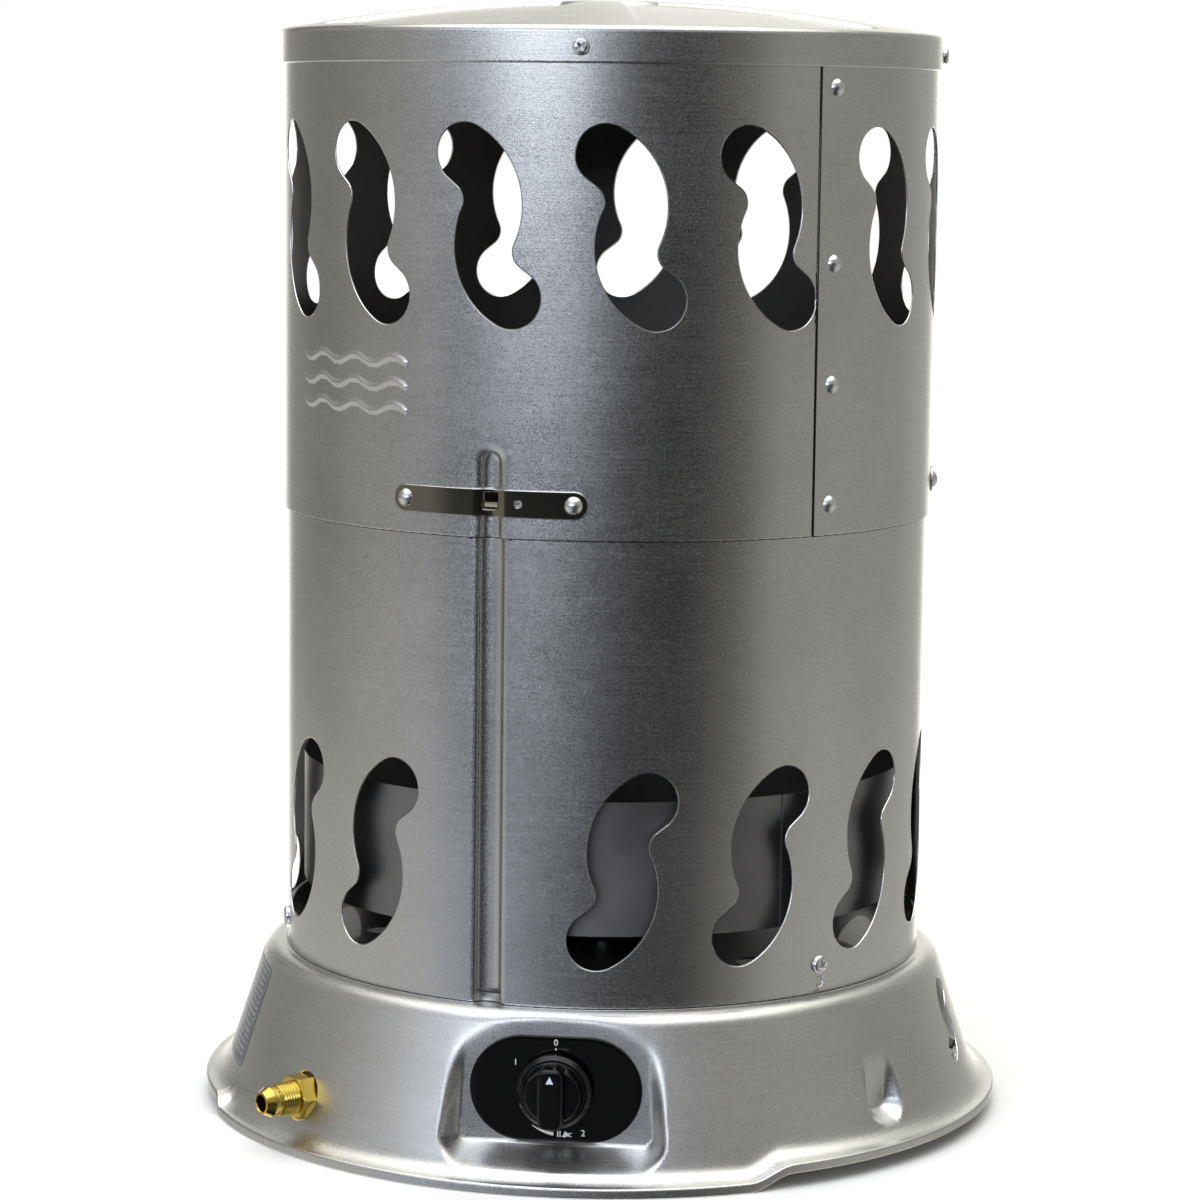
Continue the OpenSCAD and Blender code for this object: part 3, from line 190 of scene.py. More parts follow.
sheet_metal = metal_finish("zinc_sheet", (0.62, 0.62, 0.615), 0.24, 0.75, 0.2, 0.3, 0.055)
cut_edge = metal_finish("sheet_cut_edge", (0.88, 0.88, 0.88), 0.3, 0.2, 0.2, 0.0, 0.05)
# Back faces of every sheet are darkened: painted shade for the insides of the drums, hood, lid and base.
inner_painted_shade = metal_finish("painted_shade_inner_sheet", (0.15, 0.147, 0.145), 0.48, 0.6, 1.0, 0.3, 0.2)
bare_sheet = (sheet_metal, cut_edge, inner_painted_shade)

lower_r = 158.0
base_t = 0.9
seat_z = 78.0
collar_h = 18.0
rim_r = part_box("base_pan")[1].x * 1000
hem_h = 4.5
hem_w = 1.9
arch_z = 7.0
flare_r = 12.0
shoulder_r = 9.0
shoulder = (lower_r + 2.2, seat_z - shoulder_r)
skirt_a = 18.2
shoulder_z = shoulder[1] + shoulder_r * sin(radians(skirt_a))
foot_az, foot_w = -24.5, 92.0
arch_rise, arch_step = 6.5, 1.2
control_az = -7.0
recess_d = 166.0
recess = ((-50.0, 13.0), (50.0, 13.0), (43.5, 90.0), (-43.5, 90.0))
recess_soft = 9.0
dimple_az, dimple_d = 47.5, 176.0
dimple = ((-10.0, 20.0), (10.0, 20.0), (10.0, 56.0), (-10.0, 56.0))
dimple_soft = 7.0
crease = 2.0
inlet_az = -50.0
inlet_z = 25.0
skirt_unit = 178.0


def arc(x, y, r, a0, a1, n=40):
    """n points of an arc about (x, y) from angle a0 to a1, in degrees."""
    a = np.radians(np.linspace(a0, a1, n))
    return np.column_stack((x + r * np.cos(a), y + r * np.sin(a)))


def skirt_line(hem_z):
    """Section (r, z) of the base's outer face from the hem's turned-in end up to the seat: one
    point, then arcs of 40, 40, 40 and 80 points for the hem, its bend, the flare and the shoulder."""
    slope = radians(skirt_a)
    top = (shoulder[0] + shoulder_r * cos(slope), shoulder[1] + shoulder_r * sin(slope))
    flare_y = hem_z + hem_h + flare_r
    flare_x = top[0] + (top[1] - flare_y + flare_r * sin(slope)) * tan(slope) + flare_r * cos(slope)
    bend = 1.2
    start = 270 - degrees(asin((flare_x - rim_r + bend) / flare_r))
    flange_z = flare_y + flare_r * sin(radians(start))
    roll = hem_w / 2
    return np.concatenate((
        [(rim_r - hem_w, hem_z + 3.0)],
        arc(rim_r - roll, hem_z + roll, roll, 180, 360),
        arc(rim_r - bend, flange_z - bend, bend, 0, 90),
        arc(flare_x, flare_y, flare_r, start, 180 + skirt_a),
        arc(*shoulder, shoulder_r, skirt_a, 90, 80)))


foot_line = skirt_line(0.0)
arch_line = skirt_line(arch_z)
flare_at, shoulder_at = 81, 121
line_v = np.concatenate(([0.0], np.cumsum(np.hypot(*np.diff(foot_line, axis=0).T))))
seat_v = line_v[-1] + 2.5
collar_v = seat_v + collar_h - 1

groove_az = -19.5
groove_d = 156.0
groove_r = 6.0
mouth_r = 3.3
groove_press = 0.52
mouth_d = lower_r - mouth_r
mouth_a = acos((mouth_d**2 + groove_d**2 - (groove_r + mouth_r) ** 2) / (2 * mouth_d * groove_d))


def groove_section(p, e):
    """Guide groove of the surface e outside the lower drum's face. p runs from 0 at the bottom
    to 1 where the mouth meets the drum; returns x across and d from the axis. The channel is an
    arc about (0, groove_d), the mouth an arc that touches both it and the drum, and the depth
    is pressed to a share of theirs."""
    mx, md = mouth_d * sin(mouth_a), mouth_d * cos(mouth_a)
    turn = pi / 2 - atan2(groove_d - md, mx)
    from_a, to_a = atan2(groove_d - md, -mx), pi / 2 - mouth_a
    r_in, r_out = groove_r - e, mouth_r + e
    share = turn * r_in / (turn * r_in + (from_a - to_a) * r_out)
    a = turn * np.minimum(p / share, 1)
    b = from_a + (to_a - from_a) * np.clip((p - share) / (1 - share), 0, 1)
    deep = p < share
    d = np.where(deep, groove_d - r_in * np.cos(a), md + r_out * np.sin(b))
    edge_d = (lower_r + e) * cos(mouth_a)
    return np.where(deep, r_in * np.sin(a), mx + r_out * np.cos(b)), edge_d + (d - edge_d) * groove_press


def nearest_groove(az):
    """Azimuth of the guide groove nearest to each azimuth."""
    return groove_az + 120 * np.round((az - groove_az) / 120)


def curled(v, r=1.0):
    """How far a sheet's free edge at v = 0 is drawn in: a quarter round of radius r."""
    return r - np.sqrt(r * r - np.clip(r - v, 0, r) ** 2)


def on_drum_plan(az, e):
    """(x, y) of the grooved drum outline that lies e outside the lower drum's face."""
    g = nearest_groove(az)
    off = np.radians(az - g)
    p = np.abs(off) / mouth_a
    gx, gd = groove_section(np.minimum(p, 1), e)
    inside = p < 1
    x = np.where(inside, np.sign(off) * gx, (lower_r + e) * np.sin(off))
    d = np.where(inside, gd, (lower_r + e) * np.cos(off))
    g = np.radians(g)
    return x * np.cos(g) + d * np.sin(g), x * np.sin(g) - d * np.cos(g)


def smooth(t):
    """0 below 0, 1 above 1, and 3t^2 - 2t^3 between."""
    t = np.clip(t, 0, 1)
    return t * t * (3 - 2 * t)


def outline_distance(x, y, corners, round_r):
    """Signed distance to a convex outline given counter-clockwise, with corners rounded to
    round_r: distance to the outline drawn in by round_r, less round_r."""
    corners = np.array(corners)
    side = np.roll(corners, -1, axis=0) - corners
    side /= np.hypot(*side.T)[:, None]
    out = np.column_stack((side[:, 1], -side[:, 0]))
    depth = np.array([n @ c - round_r for n, c in zip(out, corners)])
    inner = [np.linalg.solve([out[i - 1], out[i]], [depth[i - 1], depth[i]]) for i in range(len(out))]
    flat = np.max([x * n[0] + y * n[1] - c for n, c in zip(out, depth)], axis=0)
    gap = np.full(np.shape(x), 1e9)
    for a, b in zip(inner, inner[1:] + inner[:1]):
        t = np.clip(((x - a[0]) * (b - a)[0] + (y - a[1]) * (b - a)[1]) / ((b - a) @ (b - a)), 0, 1)
        gap = np.minimum(gap, np.hypot(x - a[0] - t * (b - a)[0], y - a[1] - t * (b - a)[1]))
    return np.where(flat > 0, gap, flat) - round_r


def pocket(px, py, pz, az, floor_d, corners, soft):
    """Presses a flat-bottomed pocket facing az into the sheet: points inside the outline, whose
    corners have radius soft, move back to the floor, and the wall is an S-curve of that width
    across the outline. Where the sheet falls behind the floor, a hyperbola rounds the crease."""
    c, s = cos(radians(az)), sin(radians(az))
    x, d = px * c + py * s, px * s - py * c
    gap = outline_distance(x, pz, corners, soft)
    over_floor = d - floor_d
    low = floor_d + (over_floor - np.sqrt(over_floor**2 + crease)) / 2
    d = low + (d - low) * smooth(gap / soft + 0.5)
    return x * c + d * s, x * s - d * c


def place_base(u, v):
    """Forms the base: u goes round at radius skirt_unit, v up the section. The section is the
    feet's or the arches', blended over each step; past the shoulder it turns into the collar."""
    az = np.degrees(u / skirt_unit)
    along = (az - foot_az - foot_w / 2 + 1) % 180
    arch = smooth(along / arch_rise) * smooth((181.4 - foot_w - along) / arch_step)
    r, z = (np.interp(v, line_v, foot_line[:, i]) * (1 - arch) + np.interp(v, line_v, arch_line[:, i]) * arch
            for i in (0, 1))
    x, y = r * np.sin(np.radians(az)), -r * np.cos(np.radians(az))
    x, y = pocket(x, y, z, control_az, recess_d, recess, recess_soft)
    x, y = pocket(x, y, z, dimple_az, dimple_d, dimple, dimple_soft)
    cx, cy = on_drum_plan(az, -0.8)
    t = np.clip((v - line_v[-1]) / (seat_v - line_v[-1]), 0, 1)
    x, y = x + (cx - x) * t, y + (cy - y) * t
    return np.column_stack((x, y, np.where(v > seat_v, seat_z + v - seat_v, z)))


def inside_outline(points, outline):
    """Even-odd test of points against a closed outline."""
    x, y = points[:, 0, None], points[:, 1, None]
    ax, ay = outline.T
    bx, by = np.roll(outline, -1, axis=0).T
    crosses = (ay > y) != (by > y)
    with np.errstate(divide="ignore", invalid="ignore"):
        left = x < ax + (y - ay) * (bx - ax) / (by - ay)
    return (crosses & left).sum(axis=1) % 2 == 1


def distance_to(points, ring):
    """Distance from each point to the nearest point of a ring."""
    return np.hypot(*(points[:, None] - ring[None]).transpose(2, 0, 1)).min(axis=1)


def spread(lines, step, dense=()):
    """Sorted values from lines[0] to lines[1], about step apart, and the dense ones too."""
    count = int(round((lines[1] - lines[0]) / step))
    values = np.linspace(lines[0], lines[1], count + 1)
    dense = np.unique(np.round(dense, 4)) if len(dense) else np.empty(0)
    if len(dense):
        near = np.abs(values[:, None] - dense).min(axis=1) < 0.35 * step
        near[[0, -1]] = False
        values = np.concatenate((values[~near], dense))
    return np.unique(np.clip(np.round(values, 4), round(lines[0], 4), round(lines[1], 4)))


def make_piece(name, parts, mats, body, slot, *cad_nodes, sharp=35):
    """Mesh object from parts in millimetres, each (points, faces, normals or None, material of each face).
    With normals the shading follows them. Without, points that coincide are merged and edges that bend by more
    than `sharp` degrees stay hard. The piece rides on a body and hides the CAD nodes it stands for. The slot
    is not used."""
    points, faces, index, start = [], [], [], 0
    for part in parts:
        points.append(np.asarray(part[0]) * 0.001)
        faces += [[int(i) + start for i in face] for face in part[1]]
        index.append(np.broadcast_to(part[3], len(part[1])))
        start += len(part[0])
    mesh = bpy.data.meshes.new(name)
    mesh.from_pydata(np.concatenate(points).tolist(), [], faces)
    for mat in mats:
        mesh.materials.append(mat)
    mesh.polygons.foreach_set("material_index", np.concatenate(index).astype(np.int32))
    mesh.polygons.foreach_set("use_smooth", np.ones(len(mesh.polygons), bool))
    if parts[0][2] is None:
        merged = bmesh.new()
        merged.from_mesh(mesh)
        bmesh.ops.remove_doubles(merged, verts=merged.verts, dist=1e-7)
        merged.to_mesh(mesh)
        merged.free()
        mesh.set_sharp_from_angle(angle=radians(sharp))
    else:
        mesh.normals_split_custom_set_from_vertices(np.concatenate([part[2] for part in parts]).tolist())
    mesh.update()
    piece = bpy.data.objects.new(name, mesh)
    bpy.context.scene.collection.objects.link(piece)
    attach(piece, body)
    if cad_nodes:
        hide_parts(*cad_nodes)


def unit(vectors):
    """Vectors scaled to length 1."""
    return vectors / np.maximum(np.linalg.norm(vectors, axis=1, keepdims=True), 1e-12)


def formed_sheet(place, us, vs, holes, extra, thickness, closed, clear=2.5, bulge=0.55):
    """Sheet-metal piece worked out flat and then formed. The flat blank is the grid us x vs less
    the hole outlines, triangulated through extra points where the form needs them; grid points
    nearer than clear to either are left out. place(u, v) forms it, the face's normal is the
    cross product of its two slopes, the back is the face moved by the thickness against the
    normal, and a strip that bulges closes every free edge. closed joins first and last column."""
    grid = np.array(np.meshgrid(us, vs)).reshape(2, -1).T
    rim = (np.isclose(grid[:, 0], us[0]) | np.isclose(grid[:, 0], us[-1])
           | np.isclose(grid[:, 1], vs[0]) | np.isclose(grid[:, 1], vs[-1]))
    keep = np.ones(len(grid), bool)
    for ring in [*holes, *extra]:
        low, high = ring.min(axis=0) - clear, ring.max(axis=0) + clear
        near = np.flatnonzero(((grid > low) & (grid < high)).all(axis=1) & ~rim)
        if len(near):
            keep[near[distance_to(grid[near], ring) < clear]] = False
    for ring in holes:
        keep[np.flatnonzero(~rim)[inside_outline(grid[~rim], ring)]] = False
    points = grid[keep]
    edges = []
    for line, axis in ((0, us[0]), (0, us[-1]), (1, vs[0]), (1, vs[-1])):
        on = np.flatnonzero(np.isclose(points[:, line], axis))
        on = on[np.argsort(points[on, 1 - line])]
        edges += list(zip(on[:-1], on[1:]))
    loose = [points]
    count = len(points)
    for ring in holes:
        index = count + np.arange(len(ring))
        edges += list(zip(index, np.roll(index, -1)))
        loose.append(ring)
        count += len(ring)
    for ring in extra:
        away = np.ones(len(ring), bool)
        for hole in holes:
            away &= (distance_to(ring, hole) > 0.6) & ~inside_outline(ring, hole)
        loose.append(ring[away])
    points = np.concatenate(loose)
    flat, _, tris, *_ = delaunay_2d_cdt([Vector(p) for p in points], [tuple(map(int, e)) for e in edges],
                                        [], 0, 1e-5)
    flat = np.array([tuple(p) for p in flat])
    tris = np.array([t[:3] for t in tris if len(t) == 3])
    middle = flat[tris].mean(axis=1)
    gone = np.zeros(len(tris), bool)
    for ring in holes:
        gone |= inside_outline(middle, ring)
    a, b, c = flat[tris].transpose(1, 0, 2)
    area = (b - a)[:, 0] * (c - a)[:, 1] - (b - a)[:, 1] * (c - a)[:, 0]
    tris = np.where((area > 0)[:, None], tris, tris[:, ::-1])[~gone & (np.abs(area) > 1e-6)]
    u, v = flat.T
    step = 0.02
    face = place(u, v)
    normal = unit(np.cross(place(u + step, v) - place(u - step, v), place(u, v + step) - place(u, v - step)))
    if closed:
        left = np.flatnonzero(np.isclose(u, us[0]))
        right = np.flatnonzero(np.isclose(u, us[-1]))
        left, right = left[np.argsort(v[left])], right[np.argsort(v[right])]
        same = np.arange(len(flat))
        same[right] = left
        tris = same[tris]
    used = np.unique(tris)
    new = np.zeros(len(flat), int)
    new[used] = np.arange(len(used))
    tris, face, normal = new[tris], face[used], normal[used]
    n = len(face)
    back = face - thickness * normal
    pairs = np.concatenate((tris[:, [0, 1]], tris[:, [1, 2]], tris[:, [2, 0]]))
    key = np.sort(pairs, axis=1)
    _, first, times = np.unique(key, axis=0, return_index=True, return_counts=True)
    free = pairs[first[times == 1]]
    ends = np.unique(free)
    at_end = np.zeros(n, int)
    at_end[ends] = np.arange(len(ends))
    rows = [2 * n + len(ends) * k + at_end[free] for k in range(3)]
    strips = np.concatenate([np.column_stack((a[:, 1], a[:, 0], b[:, 0], b[:, 1]))
                             for a, b in zip(rows, rows[1:])])
    aside = unit(np.cross(face[free[:, 1]] - face[free[:, 0]], normal[free[:, 0]]))
    edge_normal = np.zeros((len(ends), 3))
    np.add.at(edge_normal, at_end[free[:, 0]], aside)
    np.add.at(edge_normal, at_end[free[:, 1]], aside)
    edge_normal = unit(edge_normal)
    middle = (face[ends] + back[ends]) / 2 + bulge * edge_normal
    points = np.concatenate((face, back, face[ends], middle, back[ends]))
    normals = np.concatenate((normal, -normal, unit(edge_normal + normal[ends]), edge_normal,
                              unit(edge_normal - normal[ends])))
    faces = [*tris.tolist(), *(tris[:, ::-1] + n).tolist(), *strips.tolist()]
    # Faces take finish 0, backs finish 2 (the dark painted shade), edge strips finish 1.
    return points, faces, normals, np.repeat((0, 2, 1), (len(tris), len(tris), len(strips)))


# A louvre is a slanted figure with a big lobe at each end: per half one long arc that runs into
# the lobe, a straight flank and a hollow nub. The arc's radius follows from the lobe and the
# widest point, slot_side. The figure looks the same when turned half round.
slot_lobe = np.array((-11.7, 32.5))
slot_lobe_r = 14.1
slot_side = np.array((16.85, 9.0))
slot_gap = slot_lobe - slot_side
slot_arc_r = (slot_lobe_r**2 - slot_gap @ slot_gap) / (2 * (slot_gap[0] + slot_lobe_r))
slot_arc = slot_side - (slot_arc_r, 0)
slot_nub_a = 155.1
slot_nub_r = 8.0


def louvre_outline(scale=1.0, mirror=1, step=1.3):
    """Counter-clockwise outline of a louvre about its middle, points about step apart."""
    along = np.array((cos(radians(slot_nub_a)), sin(radians(slot_nub_a))))
    nub = -slot_arc + (slot_arc_r + slot_nub_r) * along
    to_lobe = slot_lobe - nub
    flank_a = degrees(atan2(to_lobe[1], to_lobe[0])
                      - acos((slot_nub_r + slot_lobe_r) / hypot(*to_lobe)))
    lobe_start = degrees(atan2(*(slot_lobe - slot_arc)[::-1]))

    def stretch(centre, r, a0, a1):
        return arc(*centre, r, a0, a1, max(3, int(abs(a1 - a0) * pi / 180 * r * scale / step)))[:-1]

    half = np.concatenate((
        stretch(slot_arc, slot_arc_r, slot_nub_a - 180, lobe_start),
        stretch(slot_lobe, slot_lobe_r, lobe_start, flank_a + 180),
        stretch(nub, slot_nub_r, flank_a, slot_nub_a - 180)))
    whole = scale * np.concatenate((half, -half))
    return whole * (mirror, 1) if mirror > 0 else (whole * (mirror, 1))[::-1]


def on_skirt(z, values):
    """Values along the section, read at heights above the hem."""
    order = np.argsort(foot_line[flare_at:, 1])
    return np.interp(z, foot_line[flare_at:, 1][order], values[flare_at:][order])


def skirt_flat(x, z, az):
    """(u, v) on the flat blank of the point of the skirt at azimuth az, x across and z up."""
    turn = radians(az) + np.arcsin(x / on_skirt(z, foot_line[:, 0]))
    return np.column_stack((skirt_unit * turn, on_skirt(z, line_v)))


def pocket_grid(az, x0, x1):
    """Flat places of a fine grid over a pocket that faces az, from x0 to x1 across. Past the
    shoulder, v grows evenly with height."""
    x, z = np.array(np.meshgrid(np.arange(x0, x1, 1.2), np.arange(8.5, 77.5, 1.05))).reshape(2, -1)
    flat = skirt_flat(x, z, az)
    start = line_v[shoulder_at]
    round_v = start + (line_v[-1] - start) * (z - shoulder_z) / (seat_z - shoulder_z)
    flat[:, 1] = np.where(z > shoulder_z, round_v, flat[:, 1])
    return flat


base_slot = louvre_outline(0.48, -1, 1.2)
base_slot_z, base_slot_az, base_slot_pitch = 45, 75, 23
base_holes = [skirt_flat(base_slot[:, 0], base_slot_z + base_slot[:, 1], base_slot_az + base_slot_pitch * k)
              for k in range(8)]
inlet_hole_r = 11.4
inlet_ring = arc(0, inlet_z, inlet_hole_r, 0, 360, 49)[:-1]
base_holes.append(skirt_flat(inlet_ring[:, 0], inlet_ring[:, 1], inlet_az))
base_u0 = skirt_unit * radians(-96)
collar_u = [skirt_unit * radians(groove_az + 120 * k + s * p * degrees(mouth_a))
            for k in range(-1, 4) for s in (-1, 1) for p in np.linspace(0, 1, 10)]
step_u = [skirt_unit * radians(foot_az + foot_w / 2 + 180 * k + a) for k in (-1, 0, 1)
          for a in np.concatenate((np.linspace(-1, 5.5, 8), np.linspace(82.2, 83.6, 6)))]
dense_u = np.array([u for u in collar_u + step_u if base_u0 < u < base_u0 + 2 * pi * skirt_unit])
dense_v = np.concatenate((line_v[[0, 1, 8, 16, 24, 32, 40, 41, 50, 60, 70, 80]],
                          line_v[flare_at:shoulder_at:4], line_v[shoulder_at::8], [line_v[-1], seat_v]))
base_sheet = formed_sheet(
    place_base, spread((base_u0, base_u0 + 2 * pi * skirt_unit), 4.0, dense_u),
    spread((0.0, collar_v), 4.0, dense_v), base_holes,
    [pocket_grid(control_az, -60, 60), pocket_grid(dimple_az, -18, 18)],
    base_t, True, 1.6)
pressed_zinc = metal_finish("pressed_zinc", (0.63, 0.63, 0.625), 0.33, 0.7, 0.2, 0.3, 0.08)
make_piece("stamped_base", [base_sheet], (pressed_zinc, cut_edge, inner_painted_shade),
           "base", "galvanised_sheet", "base_pan")

# ==== Lower drum =====================================================================
# Tube rolled from aluminised sheet, 230 mm high, spot-welded shut. Three guide grooves run its
# full height, four louvres are punched between each two, and screws hold it to the collar.

drum_t = 0.7
lower_h = 230.0
lower_slot_z, lower_slot_pitch = 64.6, 24.8
curl_v = (0.1, 0.22, 0.4, 0.65, 1.0, 1.3)
groove_len = 2 * (pi / 2) * (groove_r + mouth_r)
period_len = 2 * pi * lower_r / 3 - 2 * lower_r * mouth_a + groove_len
lower_start = groove_az + 180


def drum_azimuth(u):
    """Azimuth of a place on the lower drum's unrolled blank, and its share of the groove."""
    turn = np.floor(u / period_len)
    s = u - (turn + 0.5) * period_len
    inside = np.abs(s) < groove_len / 2
    off = np.where(inside, s / (groove_len / 2) * mouth_a,
                   np.sign(s) * (mouth_a + (np.abs(s) - groove_len / 2) / lower_r))
    return lower_start + 120 * turn + 60 + np.degrees(off)


def drum_u(az):
    """Place on the unrolled blank of an azimuth outside the grooves."""
    turn = np.floor((az - lower_start) / 120)
    off = np.radians(az - lower_start - 120 * turn - 60)
    s = np.sign(off) * ((np.abs(off) - mouth_a) * lower_r + groove_len / 2)
    return (turn + 0.5) * period_len + s


def place_lower(u, v):
    """Forms the lower drum: the grooved outline, drawn up by v."""
    x, y = on_drum_plan(drum_azimuth(u), -curled(v))
    return np.column_stack((x, y, seat_z + v))


lower_slot = louvre_outline(1.0, -1)
lower_holes = []
for g in range(3):
    for k in (-1.5, -0.5, 0.5, 1.5):
        az = lower_start + 120 * g + lower_slot_pitch * k + 120 * (k < 0)
        across = drum_u(az) + lower_r * np.arcsin(lower_slot[:, 0] / lower_r)
        lower_holes.append(np.column_stack((across, lower_slot_z + lower_slot[:, 1])))
base_screw_az, base_screw_z = 40.5, 14.0
sight_z, sight_r = 5.75, 2.8
for k in range(3):
    az = base_screw_az + 120 * k
    az += 360 * (az < lower_start - 1)
    lower_holes.append(arc(drum_u(az), sight_z, sight_r, 0, 360, 25)[:-1])
groove_u = [(g + 0.5) * period_len + s * groove_len / 2 * p for g in range(3) for s in (-1, 1)
            for p in np.linspace(0, 1, 15)]
lower_sheet = formed_sheet(place_lower, spread((-5.0, 3 * period_len - 5.0), 6.0, groove_u),
                           spread((0.0, lower_h), 8.0, curl_v), lower_holes, [], drum_t, True, 0.9)
# Near-black painted gap shadow: the shade that falls in the gaps at the hood's lap and at the drums' feet,
# drawn as a finish.
painted_gap_shadow = metal_finish("painted_gap_shadow", (0.03, 0.03, 0.035), 0.5)


def with_shadow_line(sheet, marked):
    """The sheet with the near-black painted gap shadow, index 3, on the faces whose middle is marked."""
    points, faces, normals, index = sheet
    middle = np.array([points[f].mean(axis=0) for f in faces])
    return points, faces, normals, np.where(marked(middle) & (index < 2), 3, index)


# Painted gap shadow along the lower drum's foot, where it stands in the base's collar.
lower_sheet = with_shadow_line(lower_sheet, lambda p: p[:, 2] < seat_z + 0.55)
make_piece("lower_drum", [lower_sheet], (*bare_sheet, painted_gap_shadow), "base", "aluminised_sheet", "lower_shell")

# ==== Base screws ====================================================================
# Three pan-head sheet-metal screws of zinc-plated steel with a cross recess. They go through
# the drum's foot into the base's collar, above a round sight hole each.

zinc_plate = metal_finish("zinc_plate", (0.74, 0.74, 0.75), 0.24, 0.25, 0.3, 0.2, 0.05)


def facing(az, z, points, faces):
    """Part with its points given as (across, up, distance from the drum's axis), set at an azimuth
    and height."""
    a = radians(az)
    x, y, d = np.asarray(points).T
    return np.column_stack((x * cos(a) + d * sin(a), x * sin(a) - d * cos(a), z + y)), faces, None, 0


def loft(rings, join=False):
    """Quads between rings of points (ring, point, 3), each counter-clockwise seen from the front,
    the first ring in front and innermost. join closes the last ring to the first."""
    rings = np.asarray(rings)
    ids = np.arange(rings.shape[0] * rings.shape[1]).reshape(rings.shape[:2])
    near, far = (ids, np.roll(ids, -1, axis=0)) if join else (ids[:-1], ids[1:])
    faces = np.stack((near, far, np.roll(far, -1, axis=1), np.roll(near, -1, axis=1)), axis=-1)
    return rings.reshape(-1, 3), faces.reshape(-1, 4)


def turned(profile, sides=48):
    """Rings of a turned form: one circle for each (r, d) of its profile."""
    r, d = np.array(profile).T
    a = np.linspace(0, 2 * pi, sides, endpoint=False)
    return np.stack((np.outer(r, np.cos(a)), np.outer(r, np.sin(a)), np.tile(d[:, None], sides)), axis=-1)


def screw_head(head_r, head_h, turn):
    """Pan head: height h (1 - (r/R)^5)^0.45, less a cross recess. Each arm of the cross sinks by
    an S-curve across its edge and gets shallower towards its end."""
    r = head_r * np.concatenate((np.linspace(0, 0.9, 34), [0.94, 0.97, 0.99, 1.0, 1.0]))
    rings = turned(np.column_stack((r, np.zeros(len(r)))), 96)
    x, y = rings[..., 0], rings[..., 1]
    c, s = cos(radians(turn)), sin(radians(turn))
    along, across = np.abs(x * c + y * s), np.abs(y * c - x * s)
    slim, far = np.minimum(along, across), np.maximum(along, across)
    arm = smooth((0.15 * head_r - slim) / (0.1 * head_r) + 0.5)
    arm = arm * smooth((0.58 * head_r - far) / (0.12 * head_r))
    height = head_h * (1 - np.minimum(r / head_r, 1)[:, None] ** 5) ** 0.45
    rings[..., 2] = height - arm * head_h * (0.75 - 0.6 * far / head_r)
    rings[-1, :, 2] = -0.4
    return rings


def hardware(heads):
    """Parts for heads given as (rings, azimuth, height, distance from the axis)."""
    return [facing(az, z, *loft(rings + np.array((0.0, 0.0, d)))) for rings, az, z, d in heads]


base_screw_r, screw_h = 4.6, 2.3
make_piece("base_screws", hardware(
    [(screw_head(base_screw_r, screw_h, 25 + 40 * k), base_screw_az + 120 * k, seat_z + base_screw_z, lower_r)
     for k in range(3)]), [zinc_plate], "base", "zinc_hardware", "base_screws")

# ==== Upper drum =====================================================================
# The hood slides down over the lower drum. Its sheet laps on itself at one riveted seam, three
# short guide beads ride in the grooves, and fifteen louvres let the warm air out.

upper_r = lower_r + 0.8 + drum_t
upper_z = 295.0
upper_h = 228.0
seam_az = 36.6
bead_w = upper_r * mouth_a
bead_end = 44.5 - upper_r * sin(mouth_a)
upper_slot_z = 141.75
seam_reach = 37
wave_az = (296.0, 324.0)
wave_z = (57.0, 68.0, 79.0)
wave_swing, wave_h, wave_half = 1.8, 0.8, 2.1


def place_upper(u, v):
    """Forms the hood: a cylinder whose seam edge stands one sheet proud and runs out over
    seam_reach degrees, with guide beads that end in a quarter ball and three wavy stiffening
    beads."""
    az = seam_az + np.degrees(u / upper_r)
    g = nearest_groove(az)
    across, up = upper_r * np.radians(az - g), v - bead_end
    rho = np.where(up < 0, np.abs(across), np.hypot(across, up))
    p = rho / bead_w
    off, d = groove_section(np.minimum(p, 1), upper_r - lower_r)
    cx = np.where(up < 0, np.sign(across), across / np.maximum(rho, 1e-9))
    cz = np.where(up < 0, 0, up / np.maximum(rho, 1e-9))
    inside = p < 1
    x = off * cx
    d = d + smooth((p - 0.6) / 0.4) * (np.sqrt(upper_r**2 - x**2) - np.sqrt(upper_r**2 - off**2))
    proud = drum_t * np.clip(1 - u / upper_r / radians(seam_reach), 0, 1) ** 1.5
    proud = proud - 0.5 * smooth((u - 2 * pi * upper_r + 0.8) / 0.4)
    wave_u = (az - np.mean(wave_az)) * radians(1) * upper_r
    half = radians(wave_az[1] - wave_az[0]) / 2 * upper_r
    for height in wave_z:
        centre = height + wave_swing * np.sin(wave_u / half * 3 * pi)
        reach = np.hypot(np.maximum(np.abs(wave_u) - half, 0), v - centre)
        proud = proud + wave_h * smooth(1 - reach / wave_half)
    a = np.radians(np.where(inside, g, az))
    across, out = np.where(inside, x, 0), np.where(inside, d, upper_r + proud) - curled(v)
    z = np.where(inside & (up > 0), bead_end + off * cz, v)
    return np.column_stack((across * np.cos(a) + out * np.sin(a), across * np.sin(a) - out * np.cos(a),
                            upper_z + z))


